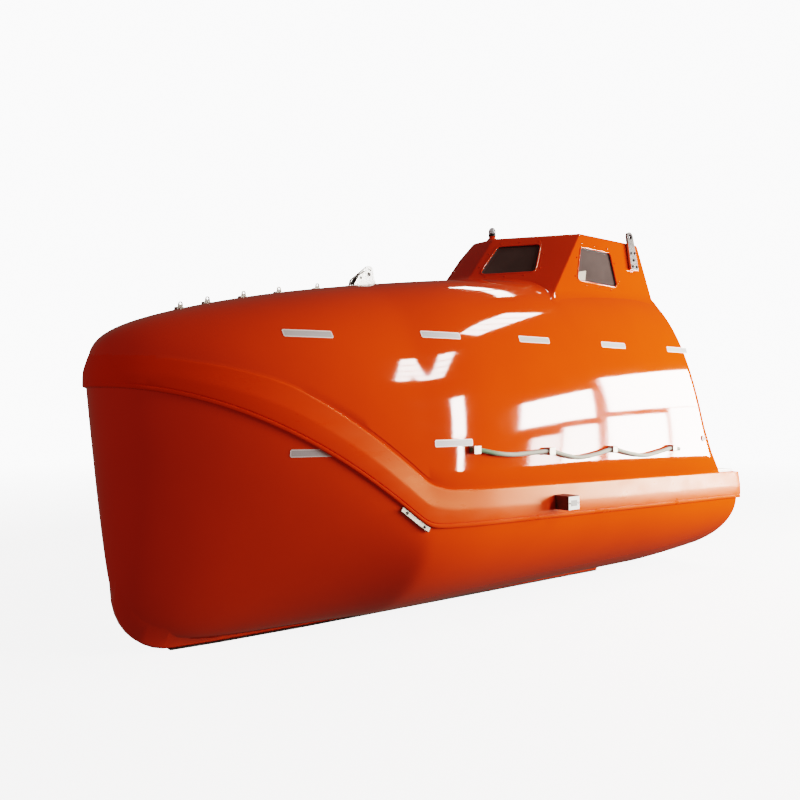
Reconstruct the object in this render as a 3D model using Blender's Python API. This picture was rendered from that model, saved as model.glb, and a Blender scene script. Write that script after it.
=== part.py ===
"""Totally enclosed free-fall lifeboat, standing on its flat keel.

Metres, +X to the bow, +Y to port, +Z up. The origin is on the floor, under the middle of the
boat's box. Places along the boat are written as stations: metres forward of the stern.
"""

import math

import bmesh
import bpy
import numpy as np
from mathutils import Matrix, Vector

# Driving dimensions of the hull and canopy
STEM = 5.10  # foremost point, on the fender band
BAND_PROUD = 0.02  # how far the fender band stands out of the body
HALF_BREADTH = 0.99  # of the body, without the fender band
BOW_START = 2.93  # from here the sides close in to the bow
SHEER_STERN_Z = 0.624  # underside of the fender band, at the stern
SHEER_AFT_Z = 0.69  # where it turns up
SHEER_BOW_Z = 1.515  # and at the stem
SHEER_TURN = 3.45  # station where the band turns up
SHEER_ROUND = 0.05  # length of that turn
ROOF_Z = 2.443  # canopy's crown, aft
ROOF_DROP = 0.508  # how far the crown falls to the stem
ROOF_TURN = 1.04  # station where it starts to fall
KEEL_Z = 0.010  # underside of the hull, without its keel ridge
STERN_RISE = 0.055  # of the keel line, at the transom
STERN_RISE_START = 0.76
STEM_RAKE = 0.09  # the hull leans aft by this share of its depth below the sheer

# Exponents of the curves: plan of the bow, its closing above and below the sheer, the sections
BOW_PLAN = (1.85, 2.0)
BOW_CLOSE_ABOVE = 4.6
BOW_CLOSE_BELOW = 9.0
SHEER_CURVE = 1.73
ROOF_CURVE = 1.5
SECTION_AFT = 3.45
SECTION_BOW = 2.5
SECTION_TURN = 2.03
SECTION_BELOW = 1.82
SECTION_BELOW_STERN = 1.88

# Fender band: its crease lies this high over its lower edge, and its face ends below the crease
BAND_TOP = 0.218
BAND_CREASE = (  # station, height
    (3.3, BAND_TOP),
    (3.5, 0.265),
    (4.26, 0.262),
    (4.73, 0.19),
    (5.0, 0.17),
)
BAND_FACE_SHARE = 0.53

# Walls and floors
CANOPY_WALL = 0.05
HULL_WALL = 0.07
SOLE_Z = 0.30
WELL_AFT = 0.72
GAP = 0.0003  # between pieces that touch

# The aft wall of canopy and tower is one raked plane, measured up from a height near its foot
WALL_BASE_Z = 0.87
WALL_FOOT = 0.385
WALL_FOOT_Z = 0.82
WALL_SLOPE = 0.308

# Propeller, nozzle and their recess under the stern
NOZZLE_S = 0.24
NOZZLE_Z = 0.30
NOZZLE_RADIUS = 0.20
NOZZLE_BORE = 0.178
NOZZLE_HALF = 0.085
PROPELLER_RADIUS = 0.168
SHAFT_RADIUS = 0.0175
RECESS_HALF = 0.27
RECESS_FORE = 0.55
RECESS_TOP = 0.60

# Release hook, the aftmost point
HOOK_REACH = 0.11
HOOK_Z = 0.775

MID = (STEM - HOOK_REACH) / 2

# Colours, roughness and metallic value of each material
FINISHES = {
    "orange_gelcoat": ((0.78, 0.16, 0.01), 0.12, 0.0),
    "white_gelcoat": ((0.85, 0.85, 0.83), 0.35, 0.0),
    "liner": ((0.62, 0.62, 0.58), 0.5, 0.0),
    "steel": ((0.72, 0.72, 0.72), 0.25, 1.0),
    "dark_steel": ((0.12, 0.12, 0.12), 0.45, 1.0),
    "bronze": ((0.62, 0.42, 0.16), 0.3, 1.0),
    "window": ((0.05, 0.045, 0.04), 0.05, 0.0),
    "lens": ((0.9, 0.9, 0.92), 0.05, 0.0),
    "rope": ((0.30, 0.36, 0.24), 0.7, 0.0),
    "seat": ((0.04, 0.07, 0.16), 0.6, 0.0),
    "engine": ((0.20, 0.24, 0.26), 0.5, 0.3),
    "black_plastic": ((0.03, 0.03, 0.03), 0.4, 0.0),
}

SIDES = (("port", 1), ("starboard", -1))


def clear_scene():
    for obj in list(bpy.data.objects):
        bpy.data.objects.remove(obj, do_unlink=True)


def material(name):
    found = bpy.data.materials.get(name)
    if found:
        return found
    color, roughness, metallic = FINISHES[name]
    made = bpy.data.materials.new(name)
    made.use_nodes = True
    shader = made.node_tree.nodes["Principled BSDF"]
    shader.inputs["Base Color"].default_value = (*color, 1.0)
    shader.inputs["Roughness"].default_value = roughness
    shader.inputs["Metallic"].default_value = metallic
    return made


# Shape of the boat, as functions of the station


def closing(s):
    """0 where the bow starts to close, 1 at the stem of the body."""
    body_stem = STEM - BAND_PROUD
    return min(max((s - BOW_START) / (body_stem - BOW_START), 0.0), 1.0)


def half_breadth(s):
    p, q = BOW_PLAN
    return HALF_BREADTH * (1 - closing(s) ** p) ** (1 / q)


def rounded_run(length):
    """The length ahead of a turn, 0 behind it, with the corner between them rounded."""
    return (length + math.hypot(length, SHEER_ROUND)) / 2


def sheer_z(s):
    body_stem = STEM - BAND_PROUD
    w = min(rounded_run(s - SHEER_TURN) / rounded_run(body_stem - SHEER_TURN), 1.0)
    rise = (SHEER_BOW_Z - SHEER_AFT_Z) * (1 - (1 - w) ** SHEER_CURVE)
    return SHEER_STERN_Z + (SHEER_AFT_Z - SHEER_STERN_Z) * min(s / SHEER_TURN, 1.0) + rise


def band_crease(s):
    """Height of the band's crease over the sheer."""
    stations, heights = zip(*BAND_CREASE)
    return float(np.interp(s, stations, heights))


def crown_height(s, inset=0.0):
    """Height of the canopy's crown over the sheer."""
    body_stem = STEM - BAND_PROUD
    fall = min(max((s - ROOF_TURN) / (body_stem - ROOF_TURN), 0.0), 1.0)
    roof = ROOF_Z - ROOF_DROP * fall**ROOF_CURVE - inset
    close = (1 - closing(s) ** BOW_CLOSE_ABOVE) ** (1 / BOW_CLOSE_ABOVE)
    return (roof - sheer_z(s)) * close


def keel_depth(s, inset=0.0):
    """Depth of the keel line under the sheer."""
    rise = max((STERN_RISE_START - s) / STERN_RISE_START, 0.0) ** 1.5
    keel = KEEL_Z + STERN_RISE * rise + inset
    close = (1 - closing(s) ** BOW_CLOSE_BELOW) ** (1 / BOW_CLOSE_BELOW)
    return (sheer_z(s) - keel) * close


def section_power(s):
    """Exponent of the canopy's section: boxy aft, round at the bow."""
    body_stem = STEM - BAND_PROUD
    w = min(max((s - SECTION_TURN) / (body_stem - SECTION_TURN), 0.0), 1.0)
    w = (w * w * (3 - 2 * w)) ** 0.6
    return SECTION_AFT + (SECTION_BOW - SECTION_AFT) * w


def wall_station(z):
    """Station of the raked aft wall at a height."""
    return WALL_FOOT + WALL_SLOPE * (z - WALL_FOOT_Z)


def wall_foot():
    """Station where the raked wall meets the sheer."""
    s = WALL_FOOT
    for _ in range(5):
        s = wall_station(sheer_z(s))
    return s


def deck_z(s):
    """Height of the stern deck's bed, a plane that falls aft."""
    aft = sheer_z(0.0) + BAND_TOP
    fore = sheer_z(wall_foot()) + BAND_TOP
    return aft + (fore - aft) * s / wall_station(fore)


def section_below(s):
    """Exponent of the hull's section, a little fuller at the stern."""
    w = min(s / SECTION_TURN, 1.0)
    return SECTION_BELOW_STERN + (SECTION_BELOW - SECTION_BELOW_STERN) * w


def plan_normal(s):
    """Outward direction of the port sheer line, seen from above."""
    step = 1e-4
    ahead = min(s + step, STEM - BAND_PROUD)
    slope = (half_breadth(ahead) - half_breadth(ahead - step)) / step
    length = math.hypot(slope, 1.0)
    return -slope / length, 1.0 / length


def canopy_y(s, z, inset=0.0):
    """Half-breadth of the canopy's side at a height."""
    n = section_power(s)
    share = min(max((z - sheer_z(s)) / crown_height(s, inset), 0.0), 1.0)
    return (half_breadth(s) - inset) * (1 - share**n) ** (1 / n)


def canopy_z(s, y, inset=0.0):
    """Height of the canopy's roof at a distance from the middle."""
    n = section_power(s)
    share = min(abs(y) / (half_breadth(s) - inset), 1.0)
    return sheer_z(s) + crown_height(s, inset) * (1 - share**n) ** (1 / n)


# Mesh helpers: points are given as (station, y, z)


def as_object(bm, name, finish, origin=(MID, 0, 0), smooth=35):
    """Makes an object of a bmesh whose points are in stations, with its own origin."""
    bmesh.ops.remove_doubles(bm, verts=bm.verts, dist=1e-6)
    bmesh.ops.dissolve_degenerate(bm, edges=bm.edges, dist=1e-7)
    bmesh.ops.recalc_face_normals(bm, faces=bm.faces)
    bmesh.ops.translate(bm, verts=bm.verts, vec=-Vector(origin))
    mesh = bpy.data.meshes.new(name)
    bm.to_mesh(mesh)
    bm.free()
    mesh.materials.append(material(finish))
    mesh.shade_smooth()
    mesh.set_sharp_from_angle(angle=math.radians(smooth))
    obj = bpy.data.objects.new(name, mesh)
    obj.location = Vector(origin) - Vector((MID, 0, 0))
    bpy.context.scene.collection.objects.link(obj)
    return obj


def from_faces(points, faces, name, finish, **options):
    bm = bmesh.new()
    verts = [bm.verts.new(p) for p in points]
    for face in faces:
        corners = [verts[i] for i in face]
        if len(set(corners)) >= 3:
            bm.faces.new(corners)
    return as_object(bm, name, finish, **options)


def box(name, finish, low, high, **options):
    """A block between two corners."""
    low, high = Vector(low), Vector(high)
    bm = bmesh.new()
    bmesh.ops.create_cube(bm, size=1.0)
    place = Matrix.Translation((low + high) / 2) @ Matrix.Diagonal((*(high - low), 1.0))
    bmesh.ops.transform(bm, verts=bm.verts, matrix=place)
    return as_object(bm, name, finish, **options)


def cylinder(name, finish, start, end, radius, end_radius=None, segments=16, **options):
    start, end = Vector(start), Vector(end)
    bm = bmesh.new()
    top = radius if end_radius is None else end_radius
    bmesh.ops.create_cone(
        bm, cap_ends=True, segments=segments, radius1=radius, radius2=top, depth=(end - start).length
    )
    turn = (end - start).to_track_quat("Z", "Y").to_matrix().to_4x4()
    bmesh.ops.transform(bm, verts=bm.verts, matrix=Matrix.Translation((start + end) / 2) @ turn)
    return as_object(bm, name, finish, **options)


def prism(name, finish, outline, shift, **options):
    """A flat outline in space, extruded by a vector."""
    count = len(outline)
    shift = Vector(shift)
    points = [Vector(p) for p in outline] + [Vector(p) + shift for p in outline]
    faces = [list(range(count)), list(range(count, 2 * count))]
    for i in range(count):
        j = (i + 1) % count
        faces.append([i, j, count + j, count + i])
    return from_faces(points, faces, name, finish, **options)


def turned(name, finish, profile, centre, axis, segments=24, **options):
    """A closed (radius, along) profile turned round an axis through the centre."""
    turn = Vector(axis).to_track_quat("Z", "Y").to_matrix()
    count = len(profile)
    points = []
    faces = []
    for k in range(segments):
        angle = 2 * math.pi * k / segments
        for radius, along in profile:
            local = Vector((radius * math.cos(angle), radius * math.sin(angle), along))
            points.append(Vector(centre) + turn @ local)
    for k in range(segments):
        after = (k + 1) % segments
        for i in range(count):
            j = (i + 1) % count
            if max(profile[i][0], profile[j][0]) > 1e-9:
                faces.append([k * count + i, k * count + j, after * count + j, after * count + i])
    return from_faces(points, faces, name, finish, **options)


def tube(name, finish, path, radius, resolution=2):
    """A rod along a list of points: a curve with a bevel and filled caps."""
    curve = bpy.data.curves.new(name, "CURVE")
    curve.dimensions = "3D"
    curve.bevel_depth = radius
    curve.bevel_resolution = resolution
    curve.use_fill_caps = True
    spline = curve.splines.new("POLY")
    spline.points.add(len(path) - 1)
    for point, place in zip(spline.points, path):
        point.co = (place[0] - MID, place[1], place[2], 1.0)
    curve.materials.append(material(finish))
    obj = bpy.data.objects.new(name, curve)
    bpy.context.scene.collection.objects.link(obj)
    return obj


def evaluated_mesh(obj):
    bpy.context.view_layer.update()
    graph = bpy.context.evaluated_depsgraph_get()
    return bpy.data.meshes.new_from_object(obj.evaluated_get(graph))


def as_mesh_object(obj, name, finish, smooth=35):
    """Turns a curve object into a mesh object of the same shape."""
    mesh = evaluated_mesh(obj)
    bm = bmesh.new()
    bm.from_mesh(mesh)
    bmesh.ops.translate(bm, verts=bm.verts, vec=(MID, 0, 0))
    bpy.data.objects.remove(obj, do_unlink=True)
    return as_object(bm, name, finish, smooth=smooth)


def combine(target, other, operation, keep=False):
    """Applies a Boolean with another object, which is removed unless it is kept."""
    modifier = target.modifiers.new("Combine", "BOOLEAN")
    modifier.operation = operation
    modifier.solver = "EXACT"
    modifier.object = other
    mesh = evaluated_mesh(target)
    target.modifiers.clear()
    finish = target.data.materials[0]
    target.data = mesh
    mesh.materials.clear()
    mesh.materials.append(finish)
    mesh.polygons.foreach_set("material_index", [0] * len(mesh.polygons))
    if not keep:
        bpy.data.objects.remove(other, do_unlink=True)
    return target


def cut(target, other, keep=False):
    return combine(target, other, "DIFFERENCE", keep)


def fuse(target, *others):
    for other in others:
        combine(target, other, "UNION")
    return target


def round_corners(outline, radius, steps=3):
    """The corners of a flat outline, each replaced by an arc."""
    points = [Vector(p) for p in outline]
    rounded = []
    for i, corner in enumerate(points):
        before = (points[i - 1] - corner).normalized()
        after = (points[(i + 1) % len(points)] - corner).normalized()
        half = before.angle(after) / 2
        inward = (before + after).normalized()
        centre = corner + inward * (radius / math.sin(half))
        start = corner + before * (radius / math.tan(half)) - centre
        end = corner + after * (radius / math.tan(half)) - centre
        for k in range(steps + 1):
            turn = start.normalized().slerp(end.normalized(), k / steps)
            rounded.append(centre + turn * radius)
    return rounded


def grow(outline, distance):
    """A convex outline in space, moved outwards in its own plane."""
    points = [Vector(p) for p in outline]
    count = len(points)
    normal = (points[1] - points[0]).cross(points[2] - points[1]).normalized()
    if (points[2] - points[0]).cross(points[3 % count] - points[2]).dot(normal) < 0:
        normal = -normal
    grown = []
    for i, point in enumerate(points):
        before = (point - points[i - 1]).normalized().cross(normal)
        after = (points[(i + 1) % count] - point).normalized().cross(normal)
        grown.append(point + (before + after) * (distance / (1 + before.dot(after))))
    return grown


# Hull and canopy


def bow_stations():
    """Stations that close the bow, from steps of the canopy's height there."""
    shares = (0.95, 0.9, 0.82, 0.72, 0.6, 0.45, 0.34, 0.24, 0.12, 0.0)
    length = STEM - BAND_PROUD - BOW_START
    closes = [(1 - share**BOW_CLOSE_ABOVE) ** (1 / BOW_CLOSE_ABOVE) for share in shares]
    return [BOW_START + length * t for t in closes]


AFT_STATIONS = (1.05, 1.5, 2.03, 2.5, BOW_START)
FORE_STATIONS = (3.2, 3.38, SHEER_TURN, 3.54, 3.7, 3.86, 4.02, 4.18, 4.33)
STATIONS = [*AFT_STATIONS, *FORE_STATIONS, *bow_stations()]
ARCH_STEPS = 9


def inner_station(s, wall):
    """The inner surface's station that goes with an outer one."""
    start = STATIONS[0]
    end = STEM - BAND_PROUD
    return start + (s - start) * (end - wall - start) / (end - start)


def arch(breadth, height, base, power, first=0.0):
    """Half of a section, from the sheer to the crown, as (y, z)."""
    points = []
    for k in range(ARCH_STEPS + 1):
        angle = first + (math.pi / 2 - first) * k / ARCH_STEPS
        y = breadth * math.cos(angle) ** (2 / power) if k < ARCH_STEPS else 0.0
        points.append((y, base + height * math.sin(angle) ** (2 / power)))
    return points


def band_offset(height, crease):
    """How far the fender band stands out at a height over the sheer."""
    share = (crease - height) / (crease - BAND_FACE_SHARE * crease)
    return BAND_PROUD * min(max(share, 0.0), 1.0)


def canopy_half_ring(s, extra=0.0):
    """Port half of the canopy's outer section, with the fender band, as (station, y, z)."""
    breadth = half_breadth(s)
    height = crown_height(s)
    base = sheer_z(s)
    power = section_power(s)
    crease = min(band_crease(s), 0.5 * height)
    face = BAND_FACE_SHARE * crease
    ahead, beside = plan_normal(s)
    first = math.asin(min((crease / height), 1.0) ** (power / 2)) if height > 0 else 0.0
    flat = [(breadth * (1 - (h / height) ** power) ** (1 / power) if height > 0 else 0.0, base + h)
            for h in (0.0, face)]
    ring = []
    for y, z in flat + arch(breadth, height, base, power, first):
        proud = band_offset(z - base, band_crease(s)) + extra
        share = y / breadth if breadth > 0 else 0.0
        lift = extra * (z - base) / height if height > 0 else 0.0
        ring.append((s + ahead * proud, y + beside * proud * share, z + lift))
    return ring


def mirrored_ring(half):
    """A whole ring, port to starboard, from its port half."""
    return half + [(s, -y, z) for s, y, z in reversed(half[:-1])]


def raked(ring, shift=0.0):
    return [(wall_station(z) + shift, y, z) for _, y, z in ring]


def strip_faces(first, second, count):
    """Quads between two rows of points that start at two indices."""
    return [[first + i, first + i + 1, second + i + 1, second + i] for i in range(count - 1)]


def deck_ring(s, extra):
    """Section under the stern deck: the band's side, then flat at its crease."""
    ring = mirrored_ring(canopy_half_ring(s, extra))
    middle = len(ring) // 2
    z = sheer_z(s) + BAND_TOP + extra
    edge = ring[2][1]
    for i in range(2, middle + 1):
        y = edge * (1 - (i - 2) / (middle - 2))
        ring[i] = (s, y, z)
        ring[len(ring) - 1 - i] = (s, -y, z)
    return ring


def canopy_outer_rings(extra=0.0):
    """Sections from the stern to the stem: low ones under the stern deck, then the raked wall."""
    foot = wall_foot()
    stern = [(-extra, y, z) for _, y, z in deck_ring(0.0, extra)]
    wall = mirrored_ring(canopy_half_ring(foot, extra))
    rings = [stern, raked(deck_ring(foot, extra), -extra), raked(wall, -extra)]
    for s in STATIONS:
        rings.append(mirrored_ring(canopy_half_ring(s, extra)))
    return rings


def canopy_envelope(extra):
    """The canopy as a solid block, a little larger, to cut what sits on it."""
    rings = canopy_outer_rings(extra)
    count = len(rings[0])
    points = [p for ring in rings for p in ring]
    faces = [list(range(count))]
    for k in range(len(rings) - 1):
        first = k * count
        faces += strip_faces(first, first + count, count)
        faces.append([first, first + count, first + 2 * count - 1, first + count - 1])
    return from_faces(points, faces, "canopy_envelope", "orange_gelcoat")


def inner_half_breadth(s, wall):
    """Half-breadth of a space inside the walls, which closes short of the stem."""
    p, q = BOW_PLAN
    body_stem = STEM - BAND_PROUD - wall
    t = min(max((s - BOW_START) / (body_stem - BOW_START), 0.0), 1.0)
    return (HALF_BREADTH - wall) * (1 - t**p) ** (1 / q)


def inner_close(s, wall, power):
    body_stem = STEM - BAND_PROUD - wall
    t = min(max((s - BOW_START) / (body_stem - BOW_START), 0.0), 1.0)
    return (1 - t**power) ** (1 / power)


def cabin_upper_ring(s, wall):
    """Section of the cabin's upper half, inside the canopy."""
    body_stem = STEM - BAND_PROUD
    fall = min(max((s - ROOF_TURN) / (body_stem - ROOF_TURN), 0.0), 1.0)
    roof = ROOF_Z - wall - ROOF_DROP * fall**ROOF_CURVE
    height = (roof - sheer_z(s)) * inner_close(s, wall, BOW_CLOSE_ABOVE)
    half = [
        (s, y, z) for y, z in arch(inner_half_breadth(s, wall), height, sheer_z(s), section_power(s))
    ]
    return mirrored_ring(half)


def cabin_lower_ring(s, wall):
    """Section of the cabin's well, inside the hull, flat at the sole."""
    height = (sheer_z(s) - KEEL_Z - wall) * inner_close(s, wall, BOW_CLOSE_BELOW)
    half = []
    for y, z in arch(inner_half_breadth(s, wall), -height, sheer_z(s), section_below(s)):
        half.append((s, y, max(z, SOLE_Z)))
    return mirrored_ring(half)


def make_canopy():
    """Outer rings, inner rings and the rim between them, with the fender band's underside."""
    wall = HULL_WALL
    outer = canopy_outer_rings()
    count = len(outer[0])
    points = [p for ring in outer for p in ring]
    faces = [list(range(count))]
    for k in range(len(outer) - 1):
        faces += strip_faces(k * count, (k + 1) * count, count)

    inner_start = len(points)
    insides = [inner_station(s, wall) for s in STATIONS]
    rings = [cabin_upper_ring(s, wall) for s in insides]
    inner_foot_s = wall_foot() + CANOPY_WALL
    inner = [raked(cabin_upper_ring(inner_foot_s, wall), CANOPY_WALL), *rings]
    inner_count = len(inner[0])
    points += [p for ring in inner for p in ring]
    faces.append(list(range(inner_start, inner_start + inner_count)))
    for k in range(len(inner) - 1):
        first = inner_start + k * inner_count
        faces += strip_faces(first, first + inner_count, inner_count)

    # The rim: the band's underside out to the skin line, then the flat joint to the inner wall
    skin_start = len(points)
    stations = [0.0, wall_foot(), *STATIONS]
    for side in (1, -1):
        points += [(s, side * half_breadth(s), sheer_z(s)) for s in stations]
    for side_index, column in ((0, 0), (1, count - 1)):
        skin = skin_start + side_index * len(stations)
        inner_column = inner_start + (0 if side_index == 0 else inner_count - 1)
        rows = [k * count + column for k in (0, 2, *range(3, len(outer)))]
        faces += joint_strip(rows, [skin + i for i in range(len(stations))])
        inner_rows = [inner_column + k * inner_count for k in range(len(inner))]
        faces += joint_strip([skin + i for i in range(1, len(stations))], inner_rows)
    stern_skin = [skin_start, skin_start + len(stations)]
    faces.append([0, stern_skin[0], stern_skin[1], count - 1])
    foot = [skin_start + 1, skin_start + len(stations) + 1]
    inner_foot = [inner_start, inner_start + inner_count - 1]
    faces.append([stern_skin[0], foot[0], inner_foot[0], inner_foot[1], foot[1], stern_skin[1]])
    lifted = [(s, y, z + GAP) for s, y, z in points]
    return from_faces(lifted, faces, "canopy", "orange_gelcoat")


def joint_strip(first, second):
    """Triangles between two lines of points, split the same way on both sides of a joint."""
    faces = []
    for i in range(len(first) - 1):
        faces.append([first[i], first[i + 1], second[i + 1]])
        faces.append([first[i], second[i + 1], second[i]])
    return faces


TRANSOM_ROUND = ((0.0, 0.05), (0.018, 0.022), (0.06, 0.0))  # station, inset of the section


def hull_ring(s, inset=0.0, extra=0.0):
    """Outer section of the hull, port sheer to keel to starboard sheer."""
    breadth = half_breadth(s) - inset
    depth = keel_depth(s, inset)
    ahead, beside = plan_normal(s)
    half = []
    for y, z in arch(breadth, -depth, sheer_z(s), section_below(s)):
        lean = STEM_RAKE * (z - sheer_z(s)) * closing(s)
        share = y / breadth if breadth > 0 else 0.0
        drop = extra * (sheer_z(s) - z) / depth if depth > 0 else 0.0
        half.append((s + lean + ahead * extra, y + beside * extra * share, z - drop))
    return mirrored_ring(half)


HULL_AFT_STATIONS = (0.38, STERN_RISE_START)

# Keel ridge under the hull, with the flat shoe that the boat stands on
SHOE_THICKNESS = 0.008
KEEL_LOW = SHOE_THICKNESS + GAP
KEEL_DRAFT = 0.015
KEEL_DEPTH = 0.16
KEEL_SECTIONS = (  # station, half-width, height of its underside
    (0.96, 0.245, KEEL_LOW),
    (1.5, 0.222, KEEL_LOW),
    (2.3, 0.193, KEEL_LOW),
    (3.0, 0.165, KEEL_LOW),
    (3.8, 0.132, KEEL_LOW),
    (4.36, 0.09, KEEL_LOW),
    (4.64, 0.054, KEEL_LOW),
    (4.75, 0.04, 0.045),
    (4.86, 0.028, 0.14),
    (4.93, 0.02, 0.30),
)
SHOE_END = 4.64


def hull_outer_rings(extra=0.0):
    rings = [hull_ring(s, inset, extra) for s, inset in TRANSOM_ROUND]
    rings[0] = [(s - extra, y, z) for s, y, z in rings[0]]
    rings += [hull_ring(s, 0.0, extra) for s in (*HULL_AFT_STATIONS, *STATIONS)]
    return rings


def hull_envelope(extra):
    rings = hull_outer_rings(extra)
    count = len(rings[0])
    points = [p for ring in rings for p in ring]
    faces = [list(range(count))]
    for k in range(len(rings) - 1):
        first = k * count
        faces += strip_faces(first, first + count, count)
        faces.append([first, first + count, first + 2 * count - 1, first + count - 1])
    return from_faces(points, faces, "hull_envelope", "orange_gelcoat")


def keel_ridge():
    points = []
    for s, y, z in KEEL_SECTIONS:
        top = z + KEEL_DEPTH
        points += [(s, y + KEEL_DRAFT, top), (s, y, z), (s, -y, z), (s, -y - KEEL_DRAFT, top)]
    last = len(points) - 4
    faces = [[3, 2, 1, 0], [last, last + 1, last + 2, last + 3]]
    for first in range(0, last, 4):
        for i in range(4):
            j = (i + 1) % 4
            faces.append([first + i, first + j, first + 4 + j, first + 4 + i])
    return from_faces(points, faces, "keel_ridge", "orange_gelcoat")


def make_keel_shoe():
    """Flat strip along the whole underside of the keel ridge."""
    edge = [(s, y - 0.004) for s, y, _ in KEEL_SECTIONS if s <= SHOE_END]
    outline = [(s, y, 0) for s, y in edge] + [(s, -y, 0) for s, y in reversed(edge)]
    prism("keel_shoe", "dark_steel", outline, (0, 0, SHOE_THICKNESS))


def make_hull():
    wall = HULL_WALL
    outer = hull_outer_rings()
    count = len(outer[0])
    points = [p for ring in outer for p in ring]
    faces = [list(range(count))]
    for k in range(len(outer) - 1):
        faces += strip_faces(k * count, (k + 1) * count, count)

    inner_start = len(points)
    insides = [inner_station(s, wall) for s in STATIONS]
    inner = [cabin_lower_ring(s, wall) for s in (WELL_AFT, *insides)]
    inner_count = len(inner[0])
    points += [p for ring in inner for p in ring]
    faces.append(list(range(inner_start, inner_start + inner_count)))
    for k in range(len(inner) - 1):
        first = inner_start + k * inner_count
        faces += strip_faces(first, first + inner_count, inner_count)

    aft_rings = len(outer) - len(STATIONS)
    for side_index in (0, 1):
        column = 0 if side_index == 0 else count - 1
        inner_column = inner_start + (0 if side_index == 0 else inner_count - 1)
        skin = [k * count + column for k in range(aft_rings, len(outer))]
        inside = [inner_column + k * inner_count for k in range(1, len(inner))]
        faces += joint_strip(skin, inside)
    port_edge = [k * count for k in range(aft_rings + 1)]
    starboard_edge = [k * count + count - 1 for k in range(aft_rings + 1)]
    inner_port = [inner_start + inner_count, inner_start]
    inner_starboard = [inner_start + inner_count - 1, inner_start + 2 * inner_count - 1]
    faces.append([*port_edge, *inner_port, *inner_starboard, *reversed(starboard_edge)])
    hull = fuse(from_faces(points, faces, "hull", "orange_gelcoat"), keel_ridge())
    chamfer = 0.09
    half = RECESS_HALF
    top = RECESS_TOP
    outline = [
        (RECESS_FORE, half, -0.1),
        (RECESS_FORE, half, top - chamfer),
        (RECESS_FORE, half - chamfer, top),
        (RECESS_FORE, chamfer - half, top),
        (RECESS_FORE, -half, top - chamfer),
        (RECESS_FORE, -half, -0.1),
    ]
    return cut(hull, prism("recess", "liner", outline, (-RECESS_FORE - 0.2, 0, 0)))


# Conning tower: roof corners on the port side as (station, y), front to back
TOWER_ROOF_Z = 2.706
TOWER_CROWN = 0.03
TOWER_FRONT = (2.065, 0.109)
TOWER_CORNER = (1.697, 0.655)
TOWER_FRONT_SLOPE = 0.807  # metres forward for each metre down
TOWER_FRONT_SPREAD = 0.025
TOWER_SIDE_SPREAD = 0.115
TOWER_LOW_Z = 2.05
TOWER_WALL = 0.055
TOWER_ROOF = 0.045


def tower_corners(z, inset=0.0):
    """Port corners of the tower's outline at a height: front, shoulder, aft."""
    drop = TOWER_ROOF_Z - z
    front = (TOWER_FRONT[0] + TOWER_FRONT_SLOPE * drop, TOWER_FRONT[1] + TOWER_FRONT_SPREAD * drop)
    y = TOWER_CORNER[1] + TOWER_SIDE_SPREAD * drop
    run = (TOWER_FRONT[0] - TOWER_CORNER[0]) / (TOWER_CORNER[1] - TOWER_FRONT[1])
    shoulder = (front[0] - (y - front[1]) * run, y)
    aft = (wall_station(z), y)
    if inset == 0.0:
        return front, shoulder, aft
    length = math.hypot(run, 1.0)
    # Each wall moved inwards: the front facet, the angled face, the side and the aft wall
    inner_front_s = front[0] - inset
    angled = front[0] + front[1] * run - inset * length
    side_y = y - inset
    inner_front = (inner_front_s, (angled - inner_front_s) / run)
    inner_shoulder = (angled - side_y * run, side_y)
    inner_aft = (aft[0] + inset, aft[1] - inset)
    return inner_front, inner_shoulder, inner_aft


def tower_block(name, low_z, roof_z, crown, inset):
    """The tower as a solid block, from a low outline to its crowned roof."""
    low = tower_corners(low_z, inset)
    high = tower_corners(roof_z, inset)
    points = []
    for corners, z in ((low, low_z), (high, roof_z)):
        points += [(s, y, z) for s, y in corners]
        points += [(s, -y, z) for s, y in reversed(corners)]
    ridge_front = len(points)
    ridge_z = roof_z + crown
    points.append((TOWER_CORNER[0] + 0.1 - inset, 0.0, ridge_z))
    points.append((wall_station(ridge_z) + inset, 0.0, ridge_z))
    faces = [[0, 1, 2, 3, 4, 5]]
    faces += [[i, i + 1, i + 7, i + 6] for i in range(5) if i != 2]
    faces.append([5, 0, 6, 11])
    faces.append([2, 3, 9, ridge_front + 1, 8])
    faces.append([6, 7, ridge_front])
    faces.append([7, 8, ridge_front + 1, ridge_front])
    faces.append([ridge_front, ridge_front + 1, 9, 10])
    faces.append([ridge_front, 10, 11])
    faces.append([6, ridge_front, 11])
    return from_faces(points, faces, name, "orange_gelcoat")


def face_frame(origin, level, up_hint):
    """Axes of a flat face: level along it, up it, and out of it."""
    origin = Vector(origin)
    along = (Vector(level) - origin).normalized()
    up = Vector(up_hint) - origin
    up = (up - along * up.dot(along)).normalized()
    return origin, along, up, along.cross(up)


# Windows of the tower: corners on the face as (along, up) from its top front corner
FRONT_WINDOW = ((0.045, -0.09), (0.37, -0.09), (0.35, -0.37), (-0.048, -0.37))
SIDE_WINDOW = ((0.01, -0.112), (0.352, -0.112), (0.41, -0.365), (-0.04, -0.365))
WINDOW_CORNER = 0.03
PANE_THICKNESS = 0.008
PANE_DEPTH = 0.012
AFT_WINDOW_HALF = 0.22
AFT_WINDOW_LOW = 2.535
AFT_WINDOW_HIGH = 2.665


def tower_point(corner, z):
    s, y = tower_corners(z)[corner]
    return Vector((s, y, z))


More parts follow.
